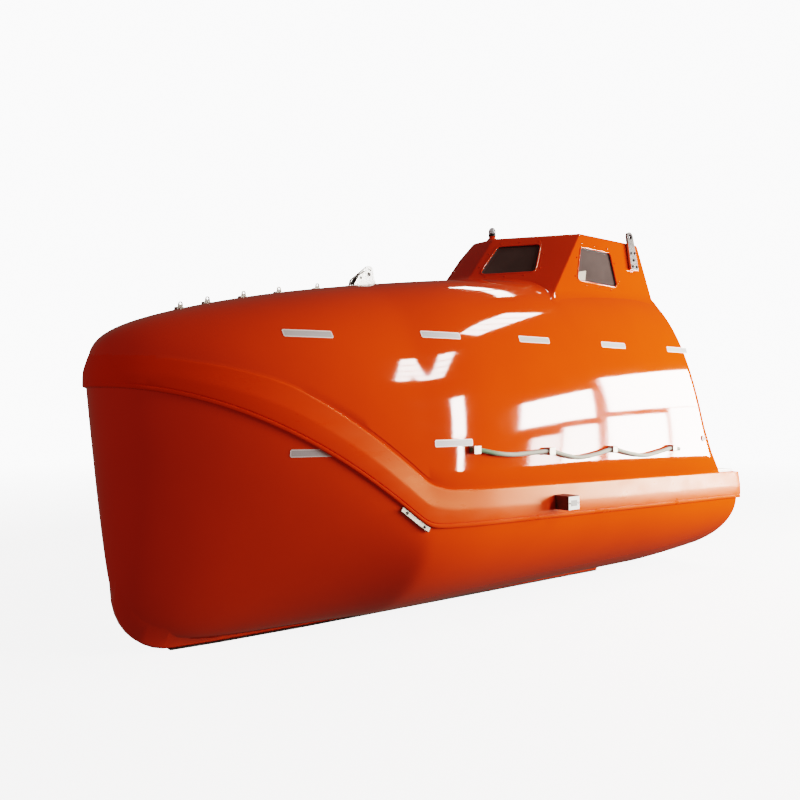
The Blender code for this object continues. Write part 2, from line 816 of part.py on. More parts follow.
def port_window_outlines():
    """Outlines of the port front and side windows in space, with each face's outward normal."""
    top, low = TOWER_ROOF_Z, 2.3
    front = face_frame(tower_point(0, top), tower_point(1, top), tower_point(0, low))
    side = face_frame(tower_point(1, top), tower_point(2, top), tower_point(1, low))
    outlines = []
    for (origin, along, down, _), corners in ((front, FRONT_WINDOW), (side, SIDE_WINDOW)):
        normal = along.cross(-down)
        if normal.y < 0:
            normal = -normal
        outline = [origin + along * a - down * u for a, u in corners]
        outlines.append((outline, normal))
    return outlines


def add_window(tower, name, outline, normal):
    """Cuts a window through the tower's wall and sets a pane in it."""
    opening = round_corners(outline, WINDOW_CORNER)
    through = normal * 0.3
    cut(tower, prism("opening", "window", [p - through / 2 for p in opening], through))
    pane = grow(opening, -GAP)
    place = normal * -PANE_DEPTH
    prism(name, "window", [p + place for p in pane], normal * -PANE_THICKNESS)


def make_tower(canopy):
    tower = tower_block("conning_tower", TOWER_LOW_Z, TOWER_ROOF_Z, TOWER_CROWN, 0.0)
    space = tower_block(
        "tower_space", TOWER_LOW_Z - 0.05, TOWER_ROOF_Z - TOWER_ROOF, TOWER_CROWN, TOWER_WALL
    )
    cut(tower, space, keep=True)
    cut(tower, canopy_envelope(GAP * 3))
    cut(canopy, space)
    for (outline, normal), place in zip(port_window_outlines(), ("front", "side")):
        for side, sign in SIDES:
            flip = Vector((1, sign, 1))
            shape = [p * flip for p in outline]
            add_window(tower, f"tower_window_{place}_{side}", shape, normal * flip)
    aft = [
        (wall_station(z), y, z)
        for z, y in (
            (AFT_WINDOW_LOW, AFT_WINDOW_HALF),
            (AFT_WINDOW_HIGH, AFT_WINDOW_HALF),
            (AFT_WINDOW_HIGH, -AFT_WINDOW_HALF),
            (AFT_WINDOW_LOW, -AFT_WINDOW_HALF),
        )
    ]
    add_window(tower, "tower_window_aft", aft, Vector((-1, 0, WALL_SLOPE)).normalized())
    return tower


# The raked wall's own frame: y across, up the wall from its foot, and out of it
WALL_UP = Vector((WALL_SLOPE, 0, 1)).normalized()
WALL_OUT = Vector((-1, 0, WALL_SLOPE)).normalized()
WALL_ORIGIN = Vector((wall_station(WALL_BASE_Z), 0, WALL_BASE_Z))


def on_wall(y, up, out):
    return WALL_ORIGIN + Vector((0, y, 0)) + WALL_UP * up + WALL_OUT * out


def wall_block(name, finish, y_range, up_range, out_range, corner=0.0, **options):
    """A slab on the raked wall, with rounded corners where a radius is given."""
    (y0, y1), (u0, u1), (o0, o1) = y_range, up_range, out_range
    outline = [on_wall(y0, u0, o0), on_wall(y1, u0, o0), on_wall(y1, u1, o0), on_wall(y0, u1, o0)]
    if corner > 0:
        outline = round_corners(outline, corner)
    return prism(name, finish, outline, WALL_OUT * (o1 - o0), **options)


# Stern door, hinged on its starboard edge
DOOR_HALF = 0.31
DOOR_LOW = 0.10
DOOR_HIGH = 1.18
DOOR_THICKNESS = 0.04
DOOR_SEAT = 0.0005
DOOR_LAP = 0.04
DOOR_HINGE_Y = -0.36
DOOR_HINGE_OUT = 0.045
HINGE_HEIGHTS = (("lower", 0.30), ("upper", 0.98))
KNUCKLE_RADIUS = 0.014
KNUCKLE_HALF = 0.025
PIN_RADIUS = 0.006
PIN_PLAY = 0.0008


def hinge_pin(name, height, half, radius):
    start = on_wall(DOOR_HINGE_Y, height - half, DOOR_HINGE_OUT)
    end = on_wall(DOOR_HINGE_Y, height + half, DOOR_HINGE_OUT)
    return cylinder(name, "steel", start, end, radius, segments=12)


def make_stern_door(canopy):
    opening = wall_block(
        "door_opening",
        "liner",
        (DOOR_LAP - DOOR_HALF, DOOR_HALF - DOOR_LAP),
        (DOOR_LOW + DOOR_LAP, DOOR_HIGH - DOOR_LAP),
        (-0.2, 0.1),
        corner=0.06,
    )
    cut(canopy, opening)
    origin = on_wall(DOOR_HINGE_Y, HINGE_HEIGHTS[0][1], DOOR_HINGE_OUT)
    door = wall_block(
        "stern_door",
        "orange_gelcoat",
        (-DOOR_HALF, DOOR_HALF),
        (DOOR_LOW, DOOR_HIGH),
        (DOOR_SEAT, DOOR_SEAT + DOOR_THICKNESS),
        corner=0.08,
        origin=origin,
    )
    for _, height in HINGE_HEIGHTS:
        strap = wall_block(
            "strap", "steel", (DOOR_HINGE_Y, -0.12), (height - 0.02, height + 0.02), (0.037, 0.051)
        )
        fuse(door, strap, hinge_pin("knuckle", height, KNUCKLE_HALF, KNUCKLE_RADIUS))
        cut(door, hinge_pin("pin_hole", height, KNUCKLE_HALF + 0.01, PIN_RADIUS + PIN_PLAY))
    for place, height in HINGE_HEIGHTS:
        y_range = (DOOR_HINGE_Y - 0.04, DOOR_HINGE_Y + 0.012)
        base = wall_block(
            f"door_hinge_{place}", "steel", y_range, (height - 0.05, height + 0.05), (GAP, 0.008)
        )
        ears = []
        for sign in (-1, 1):
            ends = sorted((height + sign * (KNUCKLE_HALF + 0.005), height + sign * 0.045))
            ears.append(wall_block("ear", "steel", y_range, ends, (0.004, 0.06)))
        fuse(base, *ears, hinge_pin("pin", height, 0.05, PIN_RADIUS))
    handle_out = DOOR_SEAT + DOOR_THICKNESS + GAP
    boss = cylinder(
        "door_handle",
        "steel",
        on_wall(0.235, 0.66, handle_out),
        on_wall(0.235, 0.66, handle_out + 0.03),
        0.024,
    )
    lever_out = (handle_out + 0.018, handle_out + 0.03)
    lever = wall_block("lever", "steel", (0.225, 0.245), (0.50, 0.68), lever_out)
    fuse(boss, lever)


# Stern deck: a plate that thins out aft, on the bed between the fender band's sides
DECK_AFT = 0.03
DECK_HALF = 0.965
DECK_AFT_THICKNESS = 0.02
DECK_FORE_THICKNESS = 0.04


def make_stern_deck():
    fore = wall_station(deck_z(WALL_FOOT)) - 2 * GAP
    corners = [(fore, DECK_HALF), (DECK_AFT, DECK_HALF), (DECK_AFT, -DECK_HALF), (fore, -DECK_HALF)]
    outline = [(s, y, deck_z(s) + 2 * GAP) for s, y in corners]
    bed = round_corners(outline, 0.04)
    slope = (DECK_FORE_THICKNESS - DECK_AFT_THICKNESS) / (fore - DECK_AFT)
    top = [p + Vector((0, 0, DECK_AFT_THICKNESS + slope * (p.x - DECK_AFT))) for p in bed]
    count = len(bed)
    faces = [list(range(count)), list(range(count, 2 * count))]
    faces += [[i, (i + 1) % count, count + (i + 1) % count, count + i] for i in range(count)]
    from_faces(bed + top, faces, "stern_deck", "white_gelcoat")


def make_handrails():
    """Grab rails on the aft wall, one each side of the door."""
    reach, radius, y = 0.075, 0.0125, 0.47
    low, high, bend = 0.28, 0.92, 0.05
    path = []
    for height, direction in ((low, 1), (high, -1)):
        corner = [(height, GAP)]
        for k in range(5):
            angle = math.pi / 2 * k / 4
            up = height + direction * bend * (1 - math.cos(angle))
            corner.append((up, reach - bend + bend * math.sin(angle)))
        path += corner if direction == 1 else reversed(corner)
    for side, sign in SIDES:
        rail = tube("rail", "steel", [on_wall(sign * y, up, out) for up, out in path], radius)
        as_mesh_object(rail, f"stern_handrail_{side}", "steel")


# Grab line: a sleeved rope on each side, through four clips, as (station, z)
GRAB_ROUTE = (
    (3.15, 1.146),
    (3.08, 1.143),
    (2.95, 1.118),
    (2.80, 1.104),
    (2.62, 1.108),
    (2.45, 1.112),
    (2.32, 1.085),
    (2.16, 1.058),
    (1.96, 1.074),
    (1.78, 1.100),
    (1.60, 1.066),
    (1.40, 1.040),
    (1.20, 1.060),
    (1.05, 1.082),
    (0.94, 1.070),
)
GRAB_RADIUS = 0.015
GRAB_STANDOFF = 0.021
GRAB_CLIPS = (3.12, 2.45, 1.78, 1.03)
CLIP_HALF = 0.028
GRAB_STEP = 0.045


def smooth_line(points, step):
    """Points along a smooth curve through the given ones."""
    points = [Vector(p) for p in points]
    ends = [points[0] * 2 - points[1], *points, points[-1] * 2 - points[-2]]
    line = [points[0]]
    for i in range(1, len(ends) - 2):
        a, b, c, d = ends[i - 1 : i + 3]
        steps = max(1, round((c - b).length / step))
        for k in range(1, steps + 1):
            t = k / steps
            square = 2 * a - 5 * b + 4 * c - d
            cube = 3 * b - a - 3 * c + d
            line.append((2 * b + (c - a) * t + square * t**2 + cube * t**3) / 2)
    return line


def grab_path(sign):
    flat = smooth_line([(s, 0, z) for s, z in GRAB_ROUTE], GRAB_STEP)
    path = []
    for point in flat:
        y = canopy_y(point.x, point.z) + GRAB_STANDOFF
        path.append((point.x, sign * y, point.z))
    return path


def height_on(path, s):
    stations = [p[0] for p in reversed(path)]
    return float(np.interp(s, stations, [p[2] for p in reversed(path)]))


def make_grab_lines(envelope):
    for side, sign in SIDES:
        path = grab_path(sign)
        tube(f"grab_line_{side}", "rope", path, GRAB_RADIUS)
        hole = as_mesh_object(tube("hole", "rope", path, GRAB_RADIUS + 0.0005), "hole", "rope")
        for number, s in enumerate(GRAB_CLIPS, start=1):
            z = height_on(path, s)
            y = canopy_y(s, z)
            low = (s - CLIP_HALF, min(sign * (y - 0.03), sign * (y + 0.045)), z - 0.024)
            high = (s + CLIP_HALF, max(sign * (y - 0.03), sign * (y + 0.045)), z + 0.024)
            clip = box(f"grab_clip_{side}_{number}", "steel", low, high)
            cut(clip, envelope, keep=True)
            cut(clip, hole, keep=True)
        bpy.data.objects.remove(hole, do_unlink=True)


# Fittings on the fender band


def make_slide_shoes(envelope):
    """Steel guide blocks on the sides of the fender band."""
    aft, fore, low, high, reach = 2.29, 2.405, 0.728, 0.822, 0.11
    for side, sign in SIDES:
        inner, outer = HALF_BREADTH - 0.05, HALF_BREADTH + BAND_PROUD + reach
        ys = sorted((sign * inner, sign * outer))
        shoe = box(f"slide_shoe_{side}", "steel", (aft, ys[0], low), (fore, ys[1], high))
        cut(shoe, envelope, keep=True)


def make_corner_strips(canopy_block, hull_block):
    """Bent flat bars under the turn of the fender band."""
    for side, sign in SIDES:
        line = []
        for s in np.linspace(3.36, 3.68, 9):
            line.append((s, sign * (half_breadth(s) + 0.012), sheer_z(s) - 0.015))
        strip = as_mesh_object(tube("strip", "steel", line, 0.016, 1), f"corner_strip_{side}", "steel")
        cut(strip, canopy_block, keep=True)
        cut(strip, hull_block, keep=True)


def make_side_vents(envelope):
    """Small flanged outlets near the aft wall."""
    s, z, radius = 0.56, 1.14, 0.02
    for side, sign in SIDES:
        y = canopy_y(s, z)
        vent = cylinder(
            f"side_vent_{side}", "steel", (s, sign * (y - 0.02), z), (s, sign * (y + 0.012), z), radius
        )
        cut(vent, cylinder("bore", "steel", (s, sign * y * 0.9, z), (s, sign * (y + 0.1), z), 0.009))
        cut(vent, envelope, keep=True)


# Fittings on the roof

DECK_EYES = (4.56, 4.39, 4.15, 3.90, 3.61)  # stations along the crown


def upright_plate(name, outline, y, thickness, finish="steel"):
    """A vertical plate along the boat, from its side outline as (station, z)."""
    points = [(s, y - thickness / 2, z) for s, z in outline]
    return prism(name, finish, points, (0, thickness, 0))


def rounded_lug(foot_aft, foot_fore, foot_z, head, head_radius, steps=10):
    """Side outline of a lug: two feet and a round head, as (station, z)."""
    outline = []
    angles = []
    for foot in (foot_aft, foot_fore):
        dx, dz = foot - head[0], foot_z - head[1]
        reach = math.hypot(dx, dz)
        tangent = math.acos(head_radius / reach)
        base = math.atan2(dz, dx)
        angles.append(base - tangent if foot == foot_aft else base + tangent)
    start, end = angles
    while start < end:
        start += 2 * math.pi
    outline.append((foot_aft, foot_z))
    for k in range(steps + 1):
        angle = start + (end - start) * k / steps
        dx, dz = head_radius * math.cos(angle), head_radius * math.sin(angle)
        outline.append((head[0] + dx, head[1] + dz))
    outline.append((foot_fore, foot_z))
    return outline


def make_deck_eyes(envelope):
    for number, s in enumerate(DECK_EYES, start=1):
        z = canopy_z(s, 0.0)
        outline = rounded_lug(s - 0.022, s + 0.022, z - 0.02, (s, z + 0.028), 0.013, 6)
        eye = upright_plate(f"deck_eye_{number}", outline, 0.0, 0.008)
        base = box("base", "steel", (s - 0.032, -0.018, z - 0.03), (s + 0.032, 0.018, z + 0.006))
        fuse(eye, base)
        hole_z = z + 0.028
        hole = cylinder("hole", "steel", (s, -0.05, hole_z), (s, 0.05, hole_z), 0.007, segments=10)
        cut(eye, hole)
        cut(eye, envelope, keep=True)


FORWARD_LUG_HEAD = (3.19, 2.348)
FORWARD_LUG_FEET = (3.13, 3.37)


def make_forward_lug(envelope):
    aft, fore = FORWARD_LUG_FEET
    outline = rounded_lug(aft, fore, 2.20, FORWARD_LUG_HEAD, 0.036)
    lug = upright_plate("forward_lug", outline, 0.0, 0.022)
    corners = ((aft - 0.03, 2.15), (fore + 0.03, 2.12))
    foot = [(s, -0.07, z) for s, z in corners] + [(s, 0.07, z) for s, z in reversed(corners)]
    fuse(lug, prism("pad", "steel", foot, (0, 0, 0.104)))
    s, z = FORWARD_LUG_HEAD
    cut(lug, cylinder("hole", "steel", (s, -0.1, z), (s, 0.1, z), 0.015, segments=14))
    cut(lug, envelope, keep=True)


# Aft lifting lugs: plates bolted to the tower's sides
AFT_LUG_S = 1.085
AFT_LUG_LOW = 2.487
AFT_LUG_HOLE = 2.752
AFT_LUG_HALF = 0.048
AFT_LUG_THICKNESS = 0.018
AFT_LUG_LEAN = 0.09  # forward for each metre up


def make_aft_lugs():
    """Each lug lies on its tower side, on a spacer, and leans with it."""
    for side, sign in SIDES:
        low_s = AFT_LUG_S - AFT_LUG_LEAN * (AFT_LUG_HOLE - AFT_LUG_LOW) / 2
        head_s = AFT_LUG_S + AFT_LUG_LEAN * (AFT_LUG_HOLE - AFT_LUG_LOW) / 2
        outline = [(low_s + AFT_LUG_HALF, AFT_LUG_LOW), (low_s - AFT_LUG_HALF, AFT_LUG_LOW)]
        radius = 0.04
        for k in range(9):
            angle = math.pi - math.pi * k / 8
            outline.append((head_s + radius * math.cos(angle), AFT_LUG_HOLE + radius * math.sin(angle)))

        def side_y(z, out):
            return sign * (tower_side_y(z) + out)

        gap = GAP * 2
        points = [(s, side_y(z, gap + 0.008), z) for s, z in outline]
        lug = prism(f"aft_lug_{side}", "steel", points, (0, sign * AFT_LUG_THICKNESS, 0))
        low, high = AFT_LUG_LOW + 0.02, TOWER_ROOF_Z - 0.03
        spacer = [
            (low_s - 0.035, side_y(low, gap), low),
            (low_s + 0.035, side_y(low, gap), low),
            (head_s + 0.03, side_y(high, gap), high),
            (head_s - 0.03, side_y(high, gap), high),
        ]
        fuse(lug, prism("spacer", "steel", spacer, (0, sign * 0.014, 0)))
        y = side_y(AFT_LUG_HOLE, 0)
        ends = [(head_s, y + reach, AFT_LUG_HOLE) for reach in (-0.1, 0.1)]
        cut(lug, cylinder("hole", "steel", *ends, 0.0175))


def tower_side_y(z):
    """Outer face of the tower's side, which leans inwards, carried on above the roof."""
    return TOWER_CORNER[1] + TOWER_SIDE_SPREAD * (TOWER_ROOF_Z - z)


LIGHT_S = 1.97


def make_position_light():
    ridge = TOWER_ROOF_Z + TOWER_CROWN
    front_s = TOWER_CORNER[0] + 0.1
    share = (LIGHT_S - front_s) / (TOWER_FRONT[0] - front_s)
    z = ridge - TOWER_CROWN * share
    base = [(0.0, -0.02), (0.021, -0.02), (0.021, 0.055), (0.0, 0.055)]
    foot = (LIGHT_S, 0, z + 0.004)
    holder = turned("position_light_base", "black_plastic", base, foot, (0, 0, 1), 16)
    roof = tower_block("roof", TOWER_LOW_Z, TOWER_ROOF_Z + GAP, TOWER_CROWN, 0.0)
    cut(holder, roof)
    low = z + 0.059 + GAP
    dome = [(0.0, low)] + [
        (0.019 * math.cos(a), low + 0.004 + 0.034 * math.sin(a)) for a in np.linspace(0, math.pi / 2, 6)
    ]
    dome.insert(1, (0.019, low))
    turned("position_light_dome", "lens", dome, (LIGHT_S, 0, 0), (0, 0, 1), 16)


# Under the boat


def make_drive_recess():
    """Stern tube on the recess's front wall, and the bearing of the nozzle's stock."""
    bore = SHAFT_RADIUS + 0.0006
    profile = [(bore, 0.0), (0.036, 0.0), (0.046, 0.13), (bore, 0.13)]
    turned("stern_tube", "steel", profile, (RECESS_FORE - GAP - 0.13, 0, NOZZLE_Z), (1, 0, 0), 16)
    ring = [(0.0262, 0.0), (0.045, 0.0), (0.045, 0.05), (0.0262, 0.05)]
    turned("nozzle_bearing", "steel", ring, (NOZZLE_S, 0, RECESS_TOP - GAP - 0.05), (0, 0, 1), 20)


BLADE_PITCH = 0.2  # metres forward for each turn
BLADE_HALF = 0.004  # half of its thickness
# Radius and half-chord of each section
BLADE_SECTIONS = (
    (0.026, 0.022),
    (0.04, 0.036),
    (0.06, 0.052),
    (0.08, 0.063),
    (0.10, 0.069),
    (0.12, 0.07),
    (0.14, 0.064),
    (0.158, 0.046),
    (PROPELLER_RADIUS, 0.02),
)


def make_propeller():
    origin = (NOZZLE_S, 0, NOZZLE_Z)
    hub = [(0.0, -0.055), (0.018, -0.05), (0.034, -0.03), (0.036, 0.04), (SHAFT_RADIUS, 0.045)]
    hub += [(SHAFT_RADIUS, RECESS_FORE - NOZZLE_S - 0.03), (0.0, RECESS_FORE - NOZZLE_S - 0.03)]
    propeller = turned("propeller", "bronze", hub, origin, (1, 0, 0), 16, origin=origin)
    for blade in range(3):
        spin = Matrix.Rotation(2 * math.pi * blade / 3, 3, "X")
        points = []
        for radius, chord in BLADE_SECTIONS:
            pitch = math.atan2(BLADE_PITCH, 2 * math.pi * radius)
            for across, thick in ((-1, 0), (0, 1), (1, 0), (0, -1)):
                x = across * chord * math.sin(pitch) + thick * BLADE_HALF * math.cos(pitch)
                side = across * chord * math.cos(pitch) - thick * BLADE_HALF * math.sin(pitch)
                points.append(Vector(origin) + spin @ Vector((x, side, math.sqrt(radius**2 - side**2))))
        last = len(points) - 4
        faces = [[3, 2, 1, 0], [last, last + 1, last + 2, last + 3]]
        for first in range(0, last, 4):
            for i in range(4):
                j = (i + 1) % 4
                # Both faces of the thin blade are split along the same diagonal
                a, b, c, d = first + i, first + j, first + 4 + j, first + 4 + i
                faces += [[a, b, c], [a, c, d]] if i < 2 else [[a, b, d], [b, c, d]]
        fuse(propeller, from_faces(points, faces, "blade", "bronze", origin=origin))


def make_nozzle():
    origin = (NOZZLE_S, 0, NOZZLE_Z)
    profile = [
        (NOZZLE_BORE + 0.012, -NOZZLE_HALF),
        (NOZZLE_BORE, -NOZZLE_HALF * 0.5),
        (NOZZLE_BORE, NOZZLE_HALF * 0.6),
        (NOZZLE_BORE + 0.014, NOZZLE_HALF),
        (NOZZLE_RADIUS, NOZZLE_HALF * 0.7),
        (NOZZLE_RADIUS, -NOZZLE_HALF * 0.8),
    ]
    nozzle = turned("steering_nozzle", "steel", profile, origin, (1, 0, 0), 28, origin=origin)
    top = RECESS_TOP - 0.008
    stock = cylinder("stock", "steel", (NOZZLE_S, 0, NOZZLE_Z + 0.19), (NOZZLE_S, 0, top), 0.025)
    fuse(nozzle, stock)


def make_release_hook():
    """Hook on the stern's middle, which turns on a level pin through its bracket."""
    z = HOOK_Z
    cheeks = []
    base = box("release_bracket", "steel", (-0.012, -0.06, z - 0.055), (-GAP, 0.06, z + 0.055))
    outline = [(-0.006, -0.04), (-0.05, -0.018), (-0.05, 0.018), (-0.006, 0.04)]
    for y in (-0.03, 0.03):
        points = [(s, y - 0.005, z + dz) for s, dz in outline]
        cheeks.append(prism("cheek", "steel", points, (0, 0.01, 0)))
    pin = cylinder("pin", "steel", (-0.032, -0.04, z), (-0.032, 0.04, z), 0.008, segments=12)
    fuse(base, *cheeks, pin)
    origin = (-0.032, 0, z)
    outline = [(-0.018, 0.016), (-0.045, 0.018), (-0.105, 0.0), (-HOOK_REACH, -0.03), (-0.095, -0.05)]
    outline += [(-0.082, -0.045), (-0.09, -0.028), (-0.086, -0.014), (-0.055, -0.016), (-0.018, -0.014)]
    points = [(s, -0.012, z + dz) for s, dz in outline]
    hook = prism("release_hook", "dark_steel", points, (0, 0.024, 0), origin=origin)
    cut(hook, cylinder("bore", "steel", (-0.032, -0.05, z), (-0.032, 0.05, z), 0.0088, segments=12))


# Inside the cabin


def make_engine():
    box("engine", "engine", (0.82, -0.24, SOLE_Z + GAP), (1.42, 0.24, 0.78))


SEAT_ROWS = (1.75, 2.3, 2.85, 3.4)  # stations of the seat backs


def make_seats():
    """Aft-facing reclined seats on a beam, one row along each side."""
    for side, sign in SIDES:
        base = sorted((sign * 0.28, sign * 0.50))
        ys = sorted((sign * 0.24, sign * 0.60))
        row = box(f"seat_row_{side}", "seat", (1.5, base[0], SOLE_Z + GAP), (3.45, base[1], 0.42))
        for s in SEAT_ROWS:
            back = [(-0.02, 0.40), (0.22, 1.02), (0.16, 1.05), (-0.10, 0.52)]
            pan = [(-0.34, 0.60), (-0.36, 0.52), (-0.16, 0.40)]
            points = [(s + ds, ys[0], z) for ds, z in back + pan]
            fuse(row, prism("seat_back", "seat", points, (0, ys[1] - ys[0], 0)))


HELM_S = 1.93
HELM_Z = 1.52
HELM_RADIUS = 0.15
HELM_TILT = Vector((-1.0, 0.0, 0.75)).normalized()


def make_helm():
    """Raised seat, console and wheel under the tower."""
    low = SOLE_Z + GAP
    stand = box("helm_seat", "seat", (1.50, -0.12, low), (1.62, 0.12, 1.16))
    pan = box("pan", "seat", (1.36, -0.22, 1.12), (1.72, 0.22, 1.22))
    back = [(1.36, -0.22, 1.16), (1.44, -0.22, 1.16), (1.40, -0.22, 1.78), (1.33, -0.22, 1.78)]
    fuse(stand, pan, prism("back", "seat", back, (0, 0.44, 0)))
    column = [(2.10, low), (2.22, low), (2.28, 1.36), (2.24, 1.66), (2.02, 1.40)]
    points = [(s, -0.1, z) for s, z in column]
    console = prism("helm_console", "white_gelcoat", points, (0, 0.2, 0))
    centre = Vector((HELM_S, 0, HELM_Z))
    shaft_end = centre - HELM_TILT * 0.30
    sleeve_start = centre - HELM_TILT * 0.10
    sleeve = cylinder("sleeve", "steel", sleeve_start, shaft_end, 0.022, segments=12)
    fuse(console, sleeve)
    bore = (sleeve_start + HELM_TILT * 0.02, sleeve_start - HELM_TILT * 0.08)
    cut(console, cylinder("bore", "steel", *bore, 0.0128, segments=12))
    rim = [
        (HELM_RADIUS + 0.012 * math.cos(a), 0.012 * math.sin(a))
        for a in np.linspace(0, 2 * math.pi, 8, endpoint=False)
    ]
    wheel = turned("helm_wheel", "black_plastic", rim, centre, HELM_TILT, 24, origin=tuple(centre))
    hub = cylinder("hub", "steel", centre + HELM_TILT * 0.02, centre - HELM_TILT * 0.02, 0.035)
    fuse(hub, cylinder("shaft", "steel", centre, centre - HELM_TILT * 0.16, 0.012, segments=12))
    across = HELM_TILT.cross(Vector((0, 1, 0))).normalized()
    for angle in (math.pi / 6, math.pi * 5 / 6, math.pi * 3 / 2):
        direction = Vector((0, 1, 0)) * math.cos(angle) + across * math.sin(angle)
        ends = (centre + direction * 0.02, centre + direction * HELM_RADIUS)
        fuse(hub, cylinder("spoke", "steel", *ends, 0.008, segments=8))
    fuse(wheel, hub)


def build():
    clear_scene()
    make_hull()
    canopy = make_canopy()
    make_tower(canopy)
    make_stern_door(canopy)
    canopy_block = canopy_envelope(GAP * 3)
    hull_block = hull_envelope(GAP * 3)
    make_stern_deck()
    make_handrails()
    make_grab_lines(canopy_block)
    make_slide_shoes(canopy_block)
    make_corner_strips(canopy_block, hull_block)
    make_side_vents(canopy_block)
    make_deck_eyes(canopy_block)
    make_forward_lug(canopy_block)
    make_aft_lugs()
    make_position_light()
    make_keel_shoe()
    make_drive_recess()
    make_propeller()
    make_nozzle()
    make_release_hook()
    make_engine()
    make_seats()
    make_helm()
    for helper in (canopy_block, hull_block):
        bpy.data.objects.remove(helper, do_unlink=True)


build()
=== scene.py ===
"""Looks of the enclosed free-fall lifeboat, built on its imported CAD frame.

Metres, +X to the bow, +Y to port, +Z up. Places along the boat are written as stations: metres
forward of the stern. The form functions are the ones of part.py, at a finer resolution.
"""

import math

import bmesh
import bpy
import numpy as np
from mathutils import Matrix, Vector, geometry


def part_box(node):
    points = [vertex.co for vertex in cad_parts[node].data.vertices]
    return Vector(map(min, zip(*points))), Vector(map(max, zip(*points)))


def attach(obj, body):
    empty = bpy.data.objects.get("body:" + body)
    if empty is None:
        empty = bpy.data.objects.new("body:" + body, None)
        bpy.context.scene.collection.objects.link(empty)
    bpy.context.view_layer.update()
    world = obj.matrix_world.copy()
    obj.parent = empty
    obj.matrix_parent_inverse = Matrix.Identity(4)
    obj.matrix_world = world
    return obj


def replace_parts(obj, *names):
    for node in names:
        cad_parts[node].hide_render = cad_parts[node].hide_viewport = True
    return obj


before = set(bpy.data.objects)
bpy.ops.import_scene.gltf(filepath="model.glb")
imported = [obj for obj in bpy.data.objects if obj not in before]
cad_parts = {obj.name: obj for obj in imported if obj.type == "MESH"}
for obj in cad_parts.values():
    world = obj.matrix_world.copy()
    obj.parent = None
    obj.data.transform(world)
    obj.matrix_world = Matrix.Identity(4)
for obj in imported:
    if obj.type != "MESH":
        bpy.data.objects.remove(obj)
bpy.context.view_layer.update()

# Driving dimensions of the hull and canopy: stations, heights, breadths and the curves' exponents
STEM = 5.10
BAND_PROUD = 0.02
HALF_BREADTH = 0.99
BOW_START = 2.93
SHEER_STERN_Z = 0.624
SHEER_AFT_Z = 0.69
SHEER_BOW_Z = 1.515
SHEER_TURN = 3.45
SHEER_ROUND = 0.05
ROOF_Z = 2.443
ROOF_DROP = 0.508
ROOF_TURN = 1.04
KEEL_Z = 0.010
STERN_RISE = 0.055
STERN_RISE_START = 0.76
STEM_RAKE = 0.09
BOW_PLAN = (1.85, 2.0)
BOW_CLOSE_ABOVE = 4.6
BOW_CLOSE_BELOW = 9.0
SHEER_CURVE = 1.73
ROOF_CURVE = 1.5
SECTION_AFT = 3.45
SECTION_BOW = 2.5
SECTION_TURN = 2.03
SECTION_BELOW = 1.82
SECTION_BELOW_STERN = 1.88

# Fender band
BAND_TOP = 0.218
BAND_CREASE = (  # station, height of the crease over the sheer
    (3.3, BAND_TOP),
    (3.5, 0.265),
    (4.26, 0.262),
    (4.73, 0.19),
    (5.0, 0.17),
)
BAND_FACE_SHARE = 0.53
BAND_CREASE_ROUND = 0.07

# Thickness of the shells, the cabin's sole and aft end, and the gap between pieces that touch
CANOPY_WALL = 0.05
HULL_WALL = 0.07
SOLE_Z = 0.30
WELL_AFT = 0.72
GAP = 0.0003

# The raked aft wall of canopy and tower
WALL_BASE_Z = 0.87
WALL_FOOT = 0.385
WALL_FOOT_Z = 0.82
WALL_SLOPE = 0.308

# Recess under the stern
RECESS_HALF = 0.27
RECESS_FORE = 0.55
RECESS_TOP = 0.60
RECESS_CHAMFER = 0.09

# The origin lies under the middle of the boat with its release hook
HOOK_REACH = 0.11
MID = (STEM - HOOK_REACH) / 2
BODY_STEM = STEM - BAND_PROUD

SIDES = (("port", 1), ("starboard", -1))


# Shape of the boat, as functions of the station


def clamp(value, low=0.0, high=1.0):
    return min(max(value, low), high)


def smooth_step(value):
    t = clamp(value)
    return t * t * (3 - 2 * t)


def closing(s):
    """0 where the bow starts to close, 1 at the stem of the body."""
    return clamp((s - BOW_START) / (BODY_STEM - BOW_START))


def half_breadth(s):
    p, q = BOW_PLAN
    return HALF_BREADTH * (1 - closing(s) ** p) ** (1 / q)


def rounded_run(length):
    """The length ahead of a turn, 0 behind it, with the corner between them rounded."""
    return (length + math.hypot(length, SHEER_ROUND)) / 2


def sheer_z(s):
    w = min(rounded_run(s - SHEER_TURN) / rounded_run(BODY_STEM - SHEER_TURN), 1.0)
    rise = (SHEER_BOW_Z - SHEER_AFT_Z) * (1 - (1 - w) ** SHEER_CURVE)
    return SHEER_STERN_Z + (SHEER_AFT_Z - SHEER_STERN_Z) * min(s / SHEER_TURN, 1.0) + rise


def band_crease(s):
    """Height of the fender band's crease over the sheer, with its turns rounded."""
    stations, heights = zip(*BAND_CREASE)
    around = s + np.linspace(-BAND_CREASE_ROUND, BAND_CREASE_ROUND, 9)
    return float(np.mean(np.interp(around, stations, heights)))


def crown_height(s):
    """Height of the canopy's crown over the sheer."""
    fall = clamp((s - ROOF_TURN) / (BODY_STEM - ROOF_TURN))
    close = (1 - closing(s) ** BOW_CLOSE_ABOVE) ** (1 / BOW_CLOSE_ABOVE)
    return (ROOF_Z - ROOF_DROP * fall**ROOF_CURVE - sheer_z(s)) * close


def keel_depth(s):
    """Depth of the keel line under the sheer."""
    rise = max((STERN_RISE_START - s) / STERN_RISE_START, 0.0) ** 1.5
    close = (1 - closing(s) ** BOW_CLOSE_BELOW) ** (1 / BOW_CLOSE_BELOW)
    return (sheer_z(s) - KEEL_Z - STERN_RISE * rise) * close


